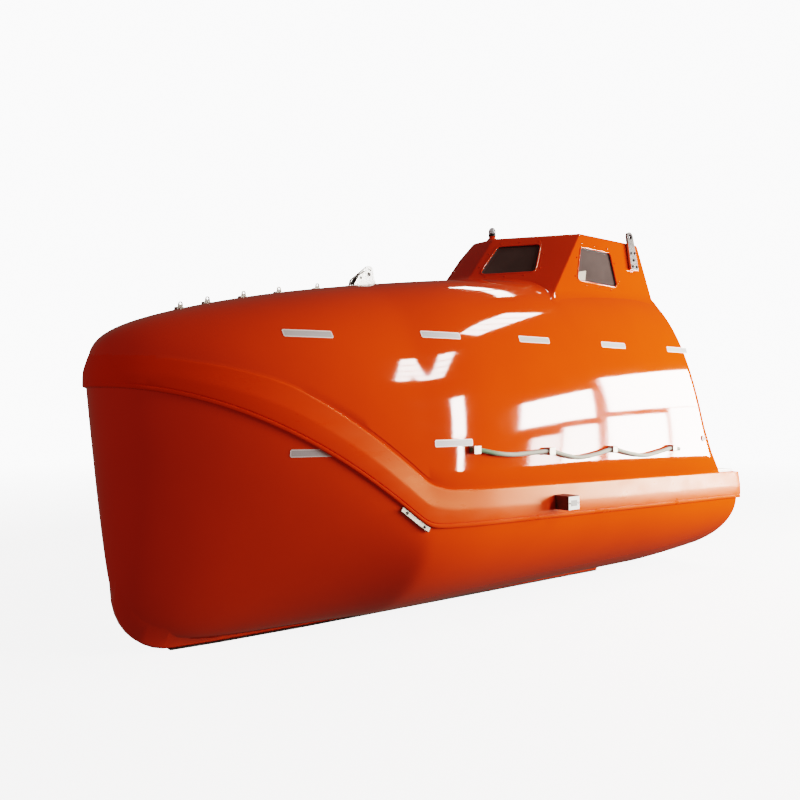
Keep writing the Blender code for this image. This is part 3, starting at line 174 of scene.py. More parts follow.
def section_power(s):
    """Exponent of the canopy's section: boxy aft, round at the bow."""
    w = clamp((s - SECTION_TURN) / (BODY_STEM - SECTION_TURN))
    w = (w * w * (3 - 2 * w)) ** 0.6
    return SECTION_AFT + (SECTION_BOW - SECTION_AFT) * w


def section_below(s):
    w = min(s / SECTION_TURN, 1.0)
    return SECTION_BELOW_STERN + (SECTION_BELOW - SECTION_BELOW_STERN) * w


def wall_station(z):
    """Station of the raked aft wall at a height."""
    return WALL_FOOT + WALL_SLOPE * (z - WALL_FOOT_Z)


def wall_foot():
    """Station where the raked wall meets the sheer."""
    s = WALL_FOOT
    for _ in range(5):
        s = wall_station(sheer_z(s))
    return s


def plan_normal(s):
    """Outward direction of the port sheer line, seen from above."""
    step = 1e-4
    ahead = min(s + step, BODY_STEM)
    slope = (half_breadth(ahead) - half_breadth(ahead - step)) / step
    length = math.hypot(slope, 1.0)
    return -slope / length, 1.0 / length


def canopy_y(s, z):
    """Half-breadth of the canopy's side at a height."""
    n = section_power(s)
    share = clamp((z - sheer_z(s)) / crown_height(s))
    return half_breadth(s) * (1 - share**n) ** (1 / n)


def canopy_z(s, y):
    """Height of the canopy's roof at a distance from the middle."""
    n = section_power(s)
    share = min(abs(y) / half_breadth(s), 1.0)
    return sheer_z(s) + crown_height(s) * (1 - share**n) ** (1 / n)


def hull_y(s, z):
    """Half-breadth of the hull's side at a height, with the bow's lean."""
    for _ in range(3):
        lean = STEM_RAKE * (z - sheer_z(s)) * closing(s)
        base = s - lean
        n = section_below(base)
        share = clamp((sheer_z(base) - z) / keel_depth(base))
    return half_breadth(base) * (1 - share**n) ** (1 / n)


# Mesh helpers: points are given as (station, y, z)


def put(obj, body="boat"):
    """Links a piece to the scene and lets it ride on a body."""
    if obj.name not in bpy.context.scene.collection.objects:
        bpy.context.scene.collection.objects.link(obj)
    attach(obj, body)
    return obj


def mesh_from(bm, name, materials, smooth=35, place=True):
    """A linked object of a bmesh whose points are in stations."""
    bmesh.ops.remove_doubles(bm, verts=bm.verts, dist=1e-6)
    bmesh.ops.dissolve_degenerate(bm, edges=bm.edges, dist=1e-7)
    bmesh.ops.recalc_face_normals(bm, faces=bm.faces)
    if place:
        bmesh.ops.translate(bm, verts=bm.verts, vec=(-MID, 0, 0))
    mesh = bpy.data.meshes.new(name)
    bm.to_mesh(mesh)
    bm.free()
    for one in materials if isinstance(materials, (list, tuple)) else [materials]:
        mesh.materials.append(one)
    mesh.shade_smooth()
    mesh.set_sharp_from_angle(angle=math.radians(smooth))
    obj = bpy.data.objects.new(name, mesh)
    bpy.context.scene.collection.objects.link(obj)
    return obj


def from_faces(points, faces, name, materials, **options):
    bm = bmesh.new()
    verts = [bm.verts.new(p) for p in points]
    for face in faces:
        corners = [verts[i] for i in face]
        if len(set(corners)) >= 3:
            bm.faces.new(corners)
    return mesh_from(bm, name, materials, **options)


def loft(name, rings, materials, **options):
    """A closed block through sections that have the same number of points."""
    count = len(rings[0])
    points = [p for ring in rings for p in ring]
    last = (len(rings) - 1) * count
    faces = [list(range(count)), [last + i for i in range(count)]]
    for first in range(0, last, count):
        for i in range(count):
            j = (i + 1) % count
            faces.append([first + i, first + j, first + count + j, first + count + i])
    return from_faces(points, faces, name, materials, **options)


def prism(name, materials, outline, shift, **options):
    """A flat outline in space, extruded by a vector."""
    shift = Vector(shift)
    low = [Vector(p) for p in outline]
    return loft(name, [low, [p + shift for p in low]], materials, **options)


def sweep(name, path, sides, ups, profile, materials, closed=False, **options):
    """A closed (side, up) profile carried along a path with its own axes at each point."""
    rings = []
    for point, side, up in zip(path, sides, ups):
        rings.append([Vector(point) + Vector(side) * a + Vector(up) * b for a, b in profile])
    if not closed:
        return loft(name, rings, materials, **options)
    count = len(profile)
    total = len(rings)
    points = [p for ring in rings for p in ring]
    faces = []
    for k in range(total):
        after = (k + 1) % total
        for i in range(count):
            j = (i + 1) % count
            faces.append([k * count + i, k * count + j, after * count + j, after * count + i])
    return from_faces(points, faces, name, materials, **options)


def circle_directions(count):
    """(cosine, sine) of even steps round a circle."""
    angles = [2 * math.pi * k / count for k in range(count)]
    return [(math.cos(a), math.sin(a)) for a in angles]


def evaluated_mesh(obj):
    bpy.context.view_layer.update()
    graph = bpy.context.evaluated_depsgraph_get()
    return bpy.data.meshes.new_from_object(obj.evaluated_get(graph))


def combine(target, other, operation, keep=False):
    """Applies a Boolean with another object, whose material its faces keep."""
    modifier = target.modifiers.new("Combine", "BOOLEAN")
    modifier.operation = operation
    modifier.solver = "EXACT"
    modifier.material_mode = "TRANSFER"
    modifier.object = other
    mesh = evaluated_mesh(target)
    target.modifiers.clear()
    target.data = mesh
    if not keep:
        bpy.data.objects.remove(other, do_unlink=True)


def finish_shell(obj, angle=32):
    """Smooth faces with sharp edges where the surface turns."""
    obj.data.shade_smooth()
    obj.data.set_sharp_from_angle(angle=math.radians(angle))


def join(name, parts):
    """Several new meshes as one piece."""
    bm = bmesh.new()
    materials = []
    for part in parts:
        start = len(bm.faces)
        bm.from_mesh(part.data)
        bm.faces.ensure_lookup_table()
        for face in bm.faces[start:]:
            one = part.data.materials[face.material_index]
            if one not in materials:
                materials.append(one)
            face.material_index = materials.index(one)
    mesh = bpy.data.meshes.new(name)
    bm.to_mesh(mesh)
    bm.free()
    for one in materials:
        mesh.materials.append(one)
    for part in parts:
        bpy.data.objects.remove(part, do_unlink=True)
    obj = bpy.data.objects.new(name, mesh)
    bpy.context.scene.collection.objects.link(obj)
    return obj


def bevel(obj, width, segments=3, angle=32):
    """Rounds an object's edges by a modifier."""
    weld = obj.modifiers.new("Weld", "WELD")
    weld.merge_threshold = 1e-5
    rounding = obj.modifiers.new("Edges", "BEVEL")
    rounding.width = width
    rounding.segments = segments
    rounding.limit_method = "ANGLE"
    rounding.angle_limit = math.radians(angle)
    obj.modifiers.new("Normals", "WEIGHTED_NORMAL").keep_sharp = False


def round_corners(outline, radii, steps=6):
    """The corners of a flat convex outline, each replaced by an arc."""
    points = [Vector(p) for p in outline]
    if not hasattr(radii, "__len__"):
        radii = [radii] * len(points)
    rounded = []
    for i, corner in enumerate(points):
        radius = radii[i]
        before = (points[i - 1] - corner).normalized()
        after = (points[(i + 1) % len(points)] - corner).normalized()
        half = before.angle(after) / 2
        centre = corner + (before + after).normalized() * (radius / math.sin(half))
        start = (corner + before * (radius / math.tan(half)) - centre).normalized()
        end = (corner + after * (radius / math.tan(half)) - centre).normalized()
        for k in range(steps + 1):
            rounded.append(centre + start.slerp(end, k / steps) * radius)
    return rounded


def outward_directions(outline):
    """In-plane outward direction at each point of a convex outline."""
    points = [Vector(p) for p in outline]
    centre = sum(points, Vector((0, 0, 0))) / len(points)
    count = len(points)
    normal = Vector((0, 0, 0))
    for i, point in enumerate(points):
        normal += (point - centre).cross(points[(i + 1) % count] - centre)
    normal.normalize()
    directions = []
    for i in range(count):
        tangent = points[(i + 1) % count] - points[i - 1]
        direction = tangent.cross(normal).normalized()
        if direction.dot(points[i] - centre) < 0:
            direction = -direction
        directions.append(direction)
    return directions


def grow(outline, distance):
    """A convex outline in space, moved outwards in its own plane."""
    return [Vector(p) + d * distance for p, d in zip(outline, outward_directions(outline))]


# Materials


def new_material(name, color, roughness, metallic=0.0):
    made = bpy.data.materials.new(name)
    made.use_nodes = True
    shader = made.node_tree.nodes["Principled BSDF"]
    shader.inputs["Base Color"].default_value = (*color, 1.0)
    shader.inputs["Roughness"].default_value = roughness
    shader.inputs["Metallic"].default_value = metallic
    return made, made.node_tree, shader


def noise(tree, scale, detail=3.0, stretch=(1, 1, 1), roughness=0.5):
    """Noise in the object's own coordinates, stretched along the axes where asked."""
    place = tree.nodes.new("ShaderNodeTexCoord")
    mapping = tree.nodes.new("ShaderNodeMapping")
    mapping.inputs["Scale"].default_value = stretch
    texture = tree.nodes.new("ShaderNodeTexNoise")
    texture.inputs["Scale"].default_value = scale
    texture.inputs["Detail"].default_value = detail
    texture.inputs["Roughness"].default_value = roughness
    tree.links.new(place.outputs["Object"], mapping.inputs["Vector"])
    tree.links.new(mapping.outputs["Vector"], texture.inputs["Vector"])
    return texture.outputs["Fac"]


def ramp(tree, source, stops):
    """Colours along a 0 to 1 value."""
    node = tree.nodes.new("ShaderNodeValToRGB")
    elements = node.color_ramp.elements
    while len(elements) < len(stops):
        elements.new(0.5)
    for element, (position, color) in zip(elements, stops):
        element.position = position
        element.color = (*color, 1.0)
    tree.links.new(source, node.inputs["Fac"])
    return node.outputs["Color"]


def spread(tree, source, low, high, start=0.3, end=0.7):
    """A 0 to 1 value mapped onto a range."""
    node = tree.nodes.new("ShaderNodeMapRange")
    node.inputs["From Min"].default_value = start
    node.inputs["From Max"].default_value = end
    node.inputs["To Min"].default_value = low
    node.inputs["To Max"].default_value = high
    tree.links.new(source, node.inputs["Value"])
    return node.outputs["Result"]


def add_bump(tree, shader, source, strength, distance):
    node = tree.nodes.new("ShaderNodeBump")
    node.inputs["Strength"].default_value = strength
    node.inputs["Distance"].default_value = distance
    previous = shader.inputs["Normal"].links
    if previous:
        tree.links.new(previous[0].from_socket, node.inputs["Normal"])
    tree.links.new(source, node.inputs["Height"])
    tree.links.new(node.outputs["Normal"], shader.inputs["Normal"])


def tinted(color, factor):
    return tuple(c * factor for c in color)


def paint_clouds(tree, shader, source, color, low, high):
    """Colour that drifts between a darker and a lighter shade of itself."""
    stops = [(0.3, tinted(color, low)), (0.7, tinted(color, high))]
    tree.links.new(ramp(tree, source, stops), shader.inputs["Base Color"])


def gelcoat(name, color, roughness=0.05, coat=0.35):
    """Polished fibreglass: uneven pigment, faint print of the mat, slow waves and orange peel."""
    made, tree, shader = new_material(name, color, roughness)
    stops = [(0.3, tinted(color, 0.95)), (0.5, color), (0.72, tinted(color, 1.05))]
    tree.links.new(ramp(tree, noise(tree, 1.7, 4.0), stops), shader.inputs["Base Color"])
    smears = noise(tree, 5.0, 6.0, (1, 1, 2.5))
    tree.links.new(spread(tree, smears, roughness * 0.85, roughness * 1.25), shader.inputs["Roughness"])
    shader.inputs["Coat Weight"].default_value = coat
    shader.inputs["Coat Roughness"].default_value = 0.02
    add_bump(tree, shader, noise(tree, 2.2, 1.0), 0.07, 0.006)
    add_bump(tree, shader, noise(tree, 420.0, 2.0), 0.05, 0.0004)
    return made


def satin_gelcoat(name, color):
    """The duller moulding of the fender band."""
    made = gelcoat(name, color, 0.3, 0.0)
    shader = made.node_tree.nodes["Principled BSDF"]
    shader.inputs["Specular IOR Level"].default_value = 0.22
    shader.inputs["Specular Tint"].default_value = (1.0, 0.70, 0.38, 1.0)
    return made


def metal(name, color, roughness, stretch=(1, 1, 8), scratch=0.12, metallic=1.0):
    """Satin metal: brushed along one direction, with cloudy patches."""
    made, tree, shader = new_material(name, color, roughness, metallic)
    paint_clouds(tree, shader, noise(tree, 14.0, 5.0), color, 0.82, 1.08)
    lines = noise(tree, 260.0, 3.0, stretch)
    tree.links.new(spread(tree, lines, roughness * 0.75, roughness * 1.35), shader.inputs["Roughness"])
    add_bump(tree, shader, lines, scratch, 0.0004)
    return made


def plastic(name, color, roughness, grain=380.0, strength=0.12):
    """Moulded plastic or paint with a fine grain."""
    made, tree, shader = new_material(name, color, roughness)
    paint_clouds(tree, shader, noise(tree, 6.0, 4.0), color, 0.9, 1.08)
    wear = spread(tree, noise(tree, 30.0, 4.0), roughness * 0.85, min(roughness * 1.2, 1.0))
    tree.links.new(wear, shader.inputs["Roughness"])
    add_bump(tree, shader, noise(tree, grain, 2.0), strength, 0.0006)
    return made


def glass(name, color, alpha):
    """Tinted pane: a dark gloss through which the cabin shows faintly."""
    made, tree, shader = new_material(name, color, 0.03)
    paint_clouds(tree, shader, noise(tree, 3.0, 3.0), color, 0.8, 1.3)
    smears = noise(tree, 9.0, 5.0, (1, 1, 3))
    tree.links.new(spread(tree, smears, 0.02, 0.09), shader.inputs["Roughness"])
    shader.inputs["Alpha"].default_value = alpha
    shader.inputs["Coat Weight"].default_value = 0.6
    return made


def rope_sleeve(name, first, second, change, width):
    """Braided rope whose colour changes at a place along the boat."""
    made, tree, shader = new_material(name, first, 0.75)
    place = tree.nodes.new("ShaderNodeTexCoord")
    split = tree.nodes.new("ShaderNodeSeparateXYZ")
    tree.links.new(place.outputs["Object"], split.inputs["Vector"])
    along = spread(tree, split.outputs["X"], 0.0, 1.0, change - width, change + width)
    shades = ramp(tree, along, [(0.0, second), (1.0, first)])
    tree.links.new(shades, shader.inputs["Base Color"])
    braid = tree.nodes.new("ShaderNodeTexWave")
    braid.wave_type = "BANDS"
    braid.bands_direction = "DIAGONAL"
    braid.inputs["Scale"].default_value = 60.0
    braid.inputs["Distortion"].default_value = 1.0
    tree.links.new(place.outputs["Object"], braid.inputs["Vector"])
    add_bump(tree, shader, braid.outputs["Fac"], 0.5, 0.0015)
    return made


def reflective(name, color):
    """Retroreflective sheet with its fine honeycomb of cells."""
    made, tree, shader = new_material(name, color, 0.3)
    place = tree.nodes.new("ShaderNodeTexCoord")
    cells = tree.nodes.new("ShaderNodeTexVoronoi")
    cells.feature = "DISTANCE_TO_EDGE"
    cells.inputs["Scale"].default_value = 240.0
    tree.links.new(place.outputs["Object"], cells.inputs["Vector"])
    stops = [(0.02, tinted(color, 0.8)), (0.10, color), (1.0, color)]
    shades = ramp(tree, cells.outputs["Distance"], stops)
    tree.links.new(shades, shader.inputs["Base Color"])
    shader.inputs["Sheen Weight"].default_value = 0.3
    add_bump(tree, shader, cells.outputs["Distance"], 0.15, 0.0004)
    return made


ORANGE = (0.74, 0.050, 0.002)
MATERIALS = {
    "orange": gelcoat("orange_gelcoat", ORANGE),
    "satin": satin_gelcoat("band_gelcoat", ORANGE),
    "white": gelcoat("white_gelcoat", (0.82, 0.82, 0.79), 0.32, 0.2),
    "liner": gelcoat("cabin_liner", (0.60, 0.60, 0.56), 0.45, 0.0),
    "steel": metal("stainless_steel", (0.66, 0.66, 0.65), 0.28),
    "bright_steel": metal("polished_steel", (0.80, 0.80, 0.79), 0.16),
    "dull_steel": metal("galvanised_steel", (0.46, 0.43, 0.38), 0.5, (1, 1, 1), 0.2),
    "dark_steel": metal("dark_painted_steel", (0.035, 0.030, 0.028), 0.45, (1, 1, 1), 0.2, 0.3),
    "bronze": metal("cast_bronze", (0.58, 0.36, 0.13), 0.32, (1, 1, 1)),
    "window": glass("tinted_glass", (0.078, 0.060, 0.056), 0.95),
    "lens": glass("clear_lens", (0.30, 0.31, 0.33), 0.85),
    "seat": plastic("moulded_seat", (0.035, 0.06, 0.14), 0.55),
    "engine": plastic("engine_paint", (0.16, 0.20, 0.22), 0.45, 120.0, 0.2),
    "black": plastic("black_plastic", (0.018, 0.018, 0.018), 0.4),
    "rubber": plastic("rubber", (0.012, 0.012, 0.012), 0.7),
    # Painted shade: the guide blocks are dark brown all over, standing in for the shade on their
    # bow-facing faces
    "brown": plastic("painted_shade_brown", (0.075, 0.035, 0.022), 0.55),
    "pale_plastic": plastic("pale_plastic", (0.78, 0.77, 0.74), 0.4),
    "card": plastic("pale_card", (0.42, 0.38, 0.31), 0.6, 60.0, 0.2),
    "grey_plastic": plastic("grey_plastic", (0.28, 0.28, 0.28), 0.5),
    "tape_edge": reflective("reflective_edge", (0.86, 0.86, 0.86)),
    "tape": reflective("reflective_sheet", (0.52, 0.52, 0.54)),
    "rope": rope_sleeve("sleeved_rope", (0.10, 0.18, 0.10), (0.36, 0.37, 0.32), 0.42, 0.08),
}

# Material of each CAD node that stays visible, by the start of its name
NODE_MATERIALS = (
    ("stern_door", "orange"),
    ("stern_deck", "white"),
    ("helm_console", "white"),
    ("helm_wheel", "black"),
    ("helm_seat", "seat"),
    ("seat_row", "seat"),
    ("engine", "engine"),
    ("propeller", "bronze"),
    ("keel_shoe", "dark_steel"),
    ("release_hook", "dark_steel"),
    ("steering_nozzle", "dull_steel"),
    # The guide blocks take the dark brown of painted shade
    ("slide_shoe", "brown"),
    ("deck_eye", "dull_steel"),
    ("grab_clip", "dull_steel"),
)


# Sections of canopy and hull

ARCH_STEPS = 40
BOW_STEPS = 34
FORE_END = 4.30


def bow_stations():
    """Stations that close the bow, in even steps round its profile."""
    share = closing(FORE_END) ** (BOW_CLOSE_ABOVE / 2)
    first = math.asin(share)
    stations = []
    for k in range(BOW_STEPS + 1):
        angle = first + (math.pi / 2 - first) * k / BOW_STEPS
        reach = math.sin(angle) ** (2 / BOW_CLOSE_ABOVE)
        stations.append(BOW_START + (BODY_STEM - BOW_START) * reach)
    return stations


STATIONS = [
    *np.arange(1.05, 3.25, 0.08),
    *np.arange(3.25, 3.75, 0.025),
    *np.arange(3.75, FORE_END, 0.05),
    *bow_stations(),
]


def arch(breadth, height, base, power, first=0.0, steps=ARCH_STEPS):
    """Half of a section, from the sheer to the crown, as (y, z)."""
    points = []
    for k in range(steps + 1):
        angle = first + (math.pi / 2 - first) * k / steps
        y = breadth * math.cos(angle) ** (2 / power) if k < steps else 0.0
        points.append((y, base + height * math.sin(angle) ** (2 / power)))
    return points


def band_profile(crease):
    """The fender band's section as (height over the sheer, how far it stands out)."""
    p = BAND_PROUD
    face = BAND_FACE_SHARE * crease
    return [
        (0.0, p - 0.006),
        (0.003, p - 0.002),
        (0.008, p),
        (0.019, p),
        (0.022, p - 0.0045),
        (0.026, p - 0.0045),
        (0.030, p - 0.0005),
        (0.036, p),
        (face - 0.018, p),
        (face - 0.006, p - 0.0008),
        (face + 0.006, p - 0.0026),
        (face + 0.022, p - 0.0052),
        (crease - 0.010, 0.0042),
        (crease - 0.003, 0.0036),
        (crease, 0.0020),
    ]


BAND_ROWS = len(band_profile(BAND_TOP))


def groove_profile(crease, s):
    """The shallow groove over the crease, which fades out towards the bow."""
    depth = 0.0035 * (1 - smooth_step((s - 3.75) / 0.6))
    return [(crease + 0.004, -depth), (crease + 0.024, -depth), (crease + 0.031, 0.0)]


def mirrored(half):
    """A whole ring, port to starboard, from its port half."""
    return half + [(s, -y, z) for s, y, z in reversed(half[:-1])]


def canopy_half_ring(s):
    """Port half of the canopy's section, with the fender band, as (station, y, z)."""
    breadth, height, base, power = half_breadth(s), crown_height(s), sheer_z(s), section_power(s)
    if height <= 1e-6:
        count = BAND_ROWS + 3 + ARCH_STEPS + 1
        return [(s + BAND_PROUD, 0.0, base)] * count
    crease = band_crease(s)
    profile = band_profile(crease) + groove_profile(crease, s)
    heights, offsets = zip(*profile)
    squeeze = min(0.5 * height / heights[-1], 1.0)
    first = math.asin((heights[-1] * squeeze / height) ** (power / 2))
    flat = []
    for h in heights:
        h *= squeeze
        flat.append((breadth * (1 - (h / height) ** power) ** (1 / power), base + h))
    ahead, beside = plan_normal(s)
    ring = []
    for y, z in flat + arch(breadth, height, base, power, first):
        proud = float(np.interp(z - base, heights, offsets))
        share = y / breadth if breadth > 0 else 0.0
        ring.append((s + ahead * proud, y + beside * proud * share, z))
    return ring


def deck_half_ring(s):
    """Section under the stern deck: the band's side, then flat at its crease."""
    ring = canopy_half_ring(s)
    edge = ring[BAND_ROWS - 1]
    steps = len(ring) - BAND_ROWS
    for i in range(1, steps + 1):
        ring[BAND_ROWS - 1 + i] = (s, edge[1] * (1 - i / steps), edge[2])
    return ring


# The aft wall flares out at the foot of its corners: how far, and up to which height
FLARE = 0.085
FLARE_TOP = 1.27
FLARE_CURVE = 1.35
FLARE_INNER_Y = 0.62
FLARE_OUTER_Y = 0.90
EDGE_ROUND = 0.03


def flared_wall(y, z):
    """Station of the aft wall at a place on it, with the flare of its corners."""
    low = sheer_z(wall_foot()) + BAND_TOP
    share = clamp((FLARE_TOP - z) / (FLARE_TOP - low))
    side = smooth_step((abs(y) - FLARE_INNER_Y) / (FLARE_OUTER_Y - FLARE_INNER_Y))
    return wall_station(z) - FLARE * share**FLARE_CURVE * side


def edge_weight(y, z):
    """Share of the wall's edge rounding: none on the fender band and under the tower."""
    low = sheer_z(wall_foot()) + BAND_TOP
    above = smooth_step((z - low - 0.01) / 0.12)
    beside = smooth_step((abs(y) - 0.70) / 0.06) if z > 2.0 else 1.0
    return above * beside


def inset_points(half, distance):
    """A half section moved inwards, by a distance given for each point."""
    moved = []
    count = len(half)
    for i, (s, y, z) in enumerate(half):
        before = half[max(i - 1, 0)]
        after = half[min(i + 1, count - 1)]
        dy, dz = after[1] - before[1], after[2] - before[2]
        length = math.hypot(dy, dz) or 1.0
        moved.append((s, y - dz / length * distance[i], z + dy / length * distance[i]))
    moved[-1] = (moved[-1][0], 0.0, moved[-1][2])
    return moved


STERN_ROUND = 0.014  # of the stern's upright edges
STERN_END = 0.08
WALL_STEPS = (0.0, 0.04, 0.10, 0.2, 0.35, 0.55, 0.8)
SIDE_STEPS = (0.15, 0.3, 0.5, 0.7, 0.85)


def quarter_steps(count):
    """(1 - cosine, 1 - sine) in even steps over a quarter of a turn."""
    angles = [math.pi / 2 * k / count for k in range(count + 1)]
    return [(1 - math.cos(a), 1 - math.sin(a)) for a in angles]


def between(first, second, share):
    """A section that lies part of the way from one to another."""
    return [tuple(a + (b - a) * share for a, b in zip(p, q)) for p, q in zip(first, second)]


def on_flare(section):
    return [(flared_wall(y, z), y, z) for _, y, z in section]


def stern_rings():
    """The rounded aft edge of the stern platform."""
    rings = []
    for ahead, inwards in quarter_steps(4):
        inset = STERN_ROUND * inwards
        half = []
        for (_, y, z), on_top in band_marks(0.0):
            half.append((STERN_ROUND * ahead, max(y - inset, 0.0), z - inset * on_top))
        rings.append(half)
    return rings


def wall_rings():
    """The platform's foot, the raked wall and its rounded outer edge."""
    foot = wall_foot()
    wall = canopy_half_ring(foot)
    weights = [edge_weight(y, z) for _, y, z in wall]
    start = on_flare(deck_half_ring(foot))
    inner = on_flare(inset_points(wall, [EDGE_ROUND * w for w in weights]))
    rings = [on_flare(between(start, inner, t)) for t in WALL_STEPS]
    for ahead, inwards in quarter_steps(6):
        row = inset_points(wall, [EDGE_ROUND * w * inwards for w in weights])
        reach = EDGE_ROUND * ahead
        rings.append([(flared_wall(y, z) + reach * w, y, z) for (_, y, z), w in zip(row, weights)])
    return rings


def canopy_rings():
    """Sections of the canopy from the stern to the stem."""
    rings = [*stern_rings(), deck_half_ring(STERN_END), *wall_rings()]
    last, front = rings[-1], canopy_half_ring(STATIONS[0])
    rings += [between(last, front, t) for t in SIDE_STEPS]
    rings += [canopy_half_ring(s) for s in STATIONS]
    return [mirrored(half) for half in rings]


def band_marks(s):
    """Points of the deck section with 1 for the ones on its top, 0 for the band's side."""
    ring = deck_half_ring(s)
    return [(p, 1.0 if i >= BAND_ROWS - 1 else 0.0) for i, p in enumerate(ring)]


def canopy_block(name):
    lifted = [[(s, y, z + GAP) for s, y, z in ring] for ring in canopy_rings()]
    return loft(name, lifted, MATERIALS["orange"])


def hull_ring(s, inset=0.0):
    """Section of the hull, port sheer to keel to starboard sheer."""
    half = []
    breadth = half_breadth(s) - inset
    depth = keel_depth(s) - inset
    for y, z in arch(breadth, -depth, sheer_z(s), section_below(s)):
        half.append((s + STEM_RAKE * (z - sheer_z(s)) * closing(s), y, z))
    return mirrored(half)


def inner_station(s):
    """The inner surface's station that goes with an outer one."""
    start = STATIONS[0]
    return start + (s - start) * (BODY_STEM - HULL_WALL - start) / (BODY_STEM - start)


def inner_close(s):
    """0 where the inner bow starts to close, 1 at its stem."""
    return clamp((s - BOW_START) / (BODY_STEM - HULL_WALL - BOW_START))


def inner_breadth(s):
    p, q = BOW_PLAN
    return (HALF_BREADTH - HULL_WALL) * (1 - inner_close(s) ** p) ** (1 / q)


def inner_stations(first):
    return [first, *[inner_station(s) for s in STATIONS[::3]], inner_station(BODY_STEM)]


INNER_STEPS = 18
JOINT_LAP = 0.05  # how far each inner space reaches past the joint of canopy and hull


def upper_space():
    """The room inside the canopy, a little below its joint with the hull too."""
    rings = []
    for s in inner_stations(wall_foot() + CANOPY_WALL):
        base = sheer_z(s)
        close = (1 - inner_close(s) ** BOW_CLOSE_ABOVE) ** (1 / BOW_CLOSE_ABOVE)
        fall = clamp((s - ROOF_TURN) / (BODY_STEM - ROOF_TURN))
        height = (ROOF_Z - HULL_WALL - ROOF_DROP * fall**ROOF_CURVE - base) * close
        dome = arch(inner_breadth(s), height, base, section_power(s), steps=INNER_STEPS)
        half = [(s, inner_breadth(s), base - JOINT_LAP), *[(s, y, z) for y, z in dome]]
        rings.append(mirrored(half))
    rings[0] = [(wall_station(z) + CANOPY_WALL, y, z) for _, y, z in rings[0]]
    return loft("upper_space", rings, MATERIALS["liner"])


def lower_space():
    """The well inside the hull, flat at the sole, a little above the joint too."""
    rings = []
    for s in inner_stations(WELL_AFT):
        base = sheer_z(s)
        close = (1 - inner_close(s) ** BOW_CLOSE_BELOW) ** (1 / BOW_CLOSE_BELOW)
        height = (base - KEEL_Z - HULL_WALL) * close
        half = [(s, inner_breadth(s), base + JOINT_LAP)]
        for y, z in arch(inner_breadth(s), -height, base, section_below(s), steps=INNER_STEPS):
            z = max(z, SOLE_Z)
            half.append((s + STEM_RAKE * (z - base) * closing(s), y, z))
        rings.append(mirrored(half))
    return loft("lower_space", rings, MATERIALS["liner"])


# Hull

KEEL_LOW = 0.0083
KEEL_DRAFT = 0.015
KEEL_DEPTH = 0.16
KEEL_SECTIONS = (  # station, half-width, slope of the sides
    (0.96, 0.245, KEEL_DRAFT),
    (1.5, 0.222, KEEL_DRAFT),
    (2.3, 0.193, 0.03),
    (3.0, 0.165, 0.06),
    (3.8, 0.122, 0.10),
    (4.36, 0.078, 0.12),
)
KEEL_BOW = (4.62, 4.96, 0.36)  # stations and height of its rounded fore end
KEEL_BOW_HALF = (0.045, 0.021)  # half-width at the start and at the end of it
KEEL_BOW_DRAFT = 0.12
KEEL_EDGE = 0.012  # radius of its lower edges
STERN_EDGE = (0.06, 0.05)  # how far the stern's rounded edge reaches ahead and inwards
STERN_STATIONS = (0.15, 0.26, 0.38, 0.50, 0.63, 0.76, 0.90)


def keel_ridge():
    """The flat ridge along the keel, with rounded lower edges, that fades into the bow."""
    sections = [(s, y, KEEL_LOW, draft) for s, y, draft in KEEL_SECTIONS]
    start, end, rise = KEEL_BOW
    for k in range(9):
        angle = math.radians(80) * k / 8
        s = start + (end - start) * math.sin(angle)
        z = KEEL_LOW + rise * (1 - math.cos(angle))
        width = KEEL_BOW_HALF[0] + (KEEL_BOW_HALF[1] - KEEL_BOW_HALF[0]) * k / 8
        sections.append((s, width, z, KEEL_BOW_DRAFT))
    rings = []
    for s, y, z, draft in sections:
        r = min(KEEL_EDGE, y * 0.4)
        top = max(min(y + draft, hull_y(s, z + KEEL_DEPTH) - 0.01), y * 0.9)
        half = [(s, top, z + KEEL_DEPTH), (s, y + (top - y) * 0.1, z + r)]
        for inwards, upwards in quarter_steps(4)[1:]:
            half.append((s, y - r * inwards, z + r * upwards))
        half.append((s, 0.0, z))
        rings.append(mirrored(half))
    return loft("keel_ridge", rings, MATERIALS["orange"])


def make_hull():
    ahead, inwards = STERN_EDGE
    rings = [hull_ring(ahead * a, inwards * b) for a, b in quarter_steps(7)]
    rings += [hull_ring(s) for s in (*STERN_STATIONS, *STATIONS)]
    hull = loft("hull_shell", rings, MATERIALS["orange"])
    combine(hull, keel_ridge(), "UNION")
    combine(hull, lower_space(), "DIFFERENCE")
    half, top, chamfer = RECESS_HALF, RECESS_TOP, RECESS_CHAMFER
    outline = [(half, -0.1), (half, top - chamfer), (half - chamfer, top)]
    outline += [(-y, z) for y, z in reversed(outline)]
    recess = [(RECESS_FORE, y, z) for y, z in outline]
    cutter = prism("recess", MATERIALS["orange"], recess, (-RECESS_FORE - 0.2, 0, 0))
    combine(hull, cutter, "DIFFERENCE")
    finish_shell(hull)
    put(hull)
    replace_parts(hull, "hull")


BAND_BELOW = 0.06  # how far under the sheer and inside the skin the band's finish reaches
BAND_INSIDE = 0.16


def dull_band(canopy):
    """Gives the faces of the fender band the duller moulding's finish."""
    slot = len(canopy.data.materials)
    canopy.data.materials.append(MATERIALS["satin"])
    for face in canopy.data.polygons:
        s, z = face.center.x + MID, face.center.z
        low, high = sheer_z(s) - BAND_BELOW, sheer_z(s) + band_crease(s) + 0.004
        inside = abs(face.center.y) < half_breadth(s) - BAND_INSIDE
        if low < z < high and not inside and face.normal.x > -0.8:
            face.material_index = slot


# Conning tower

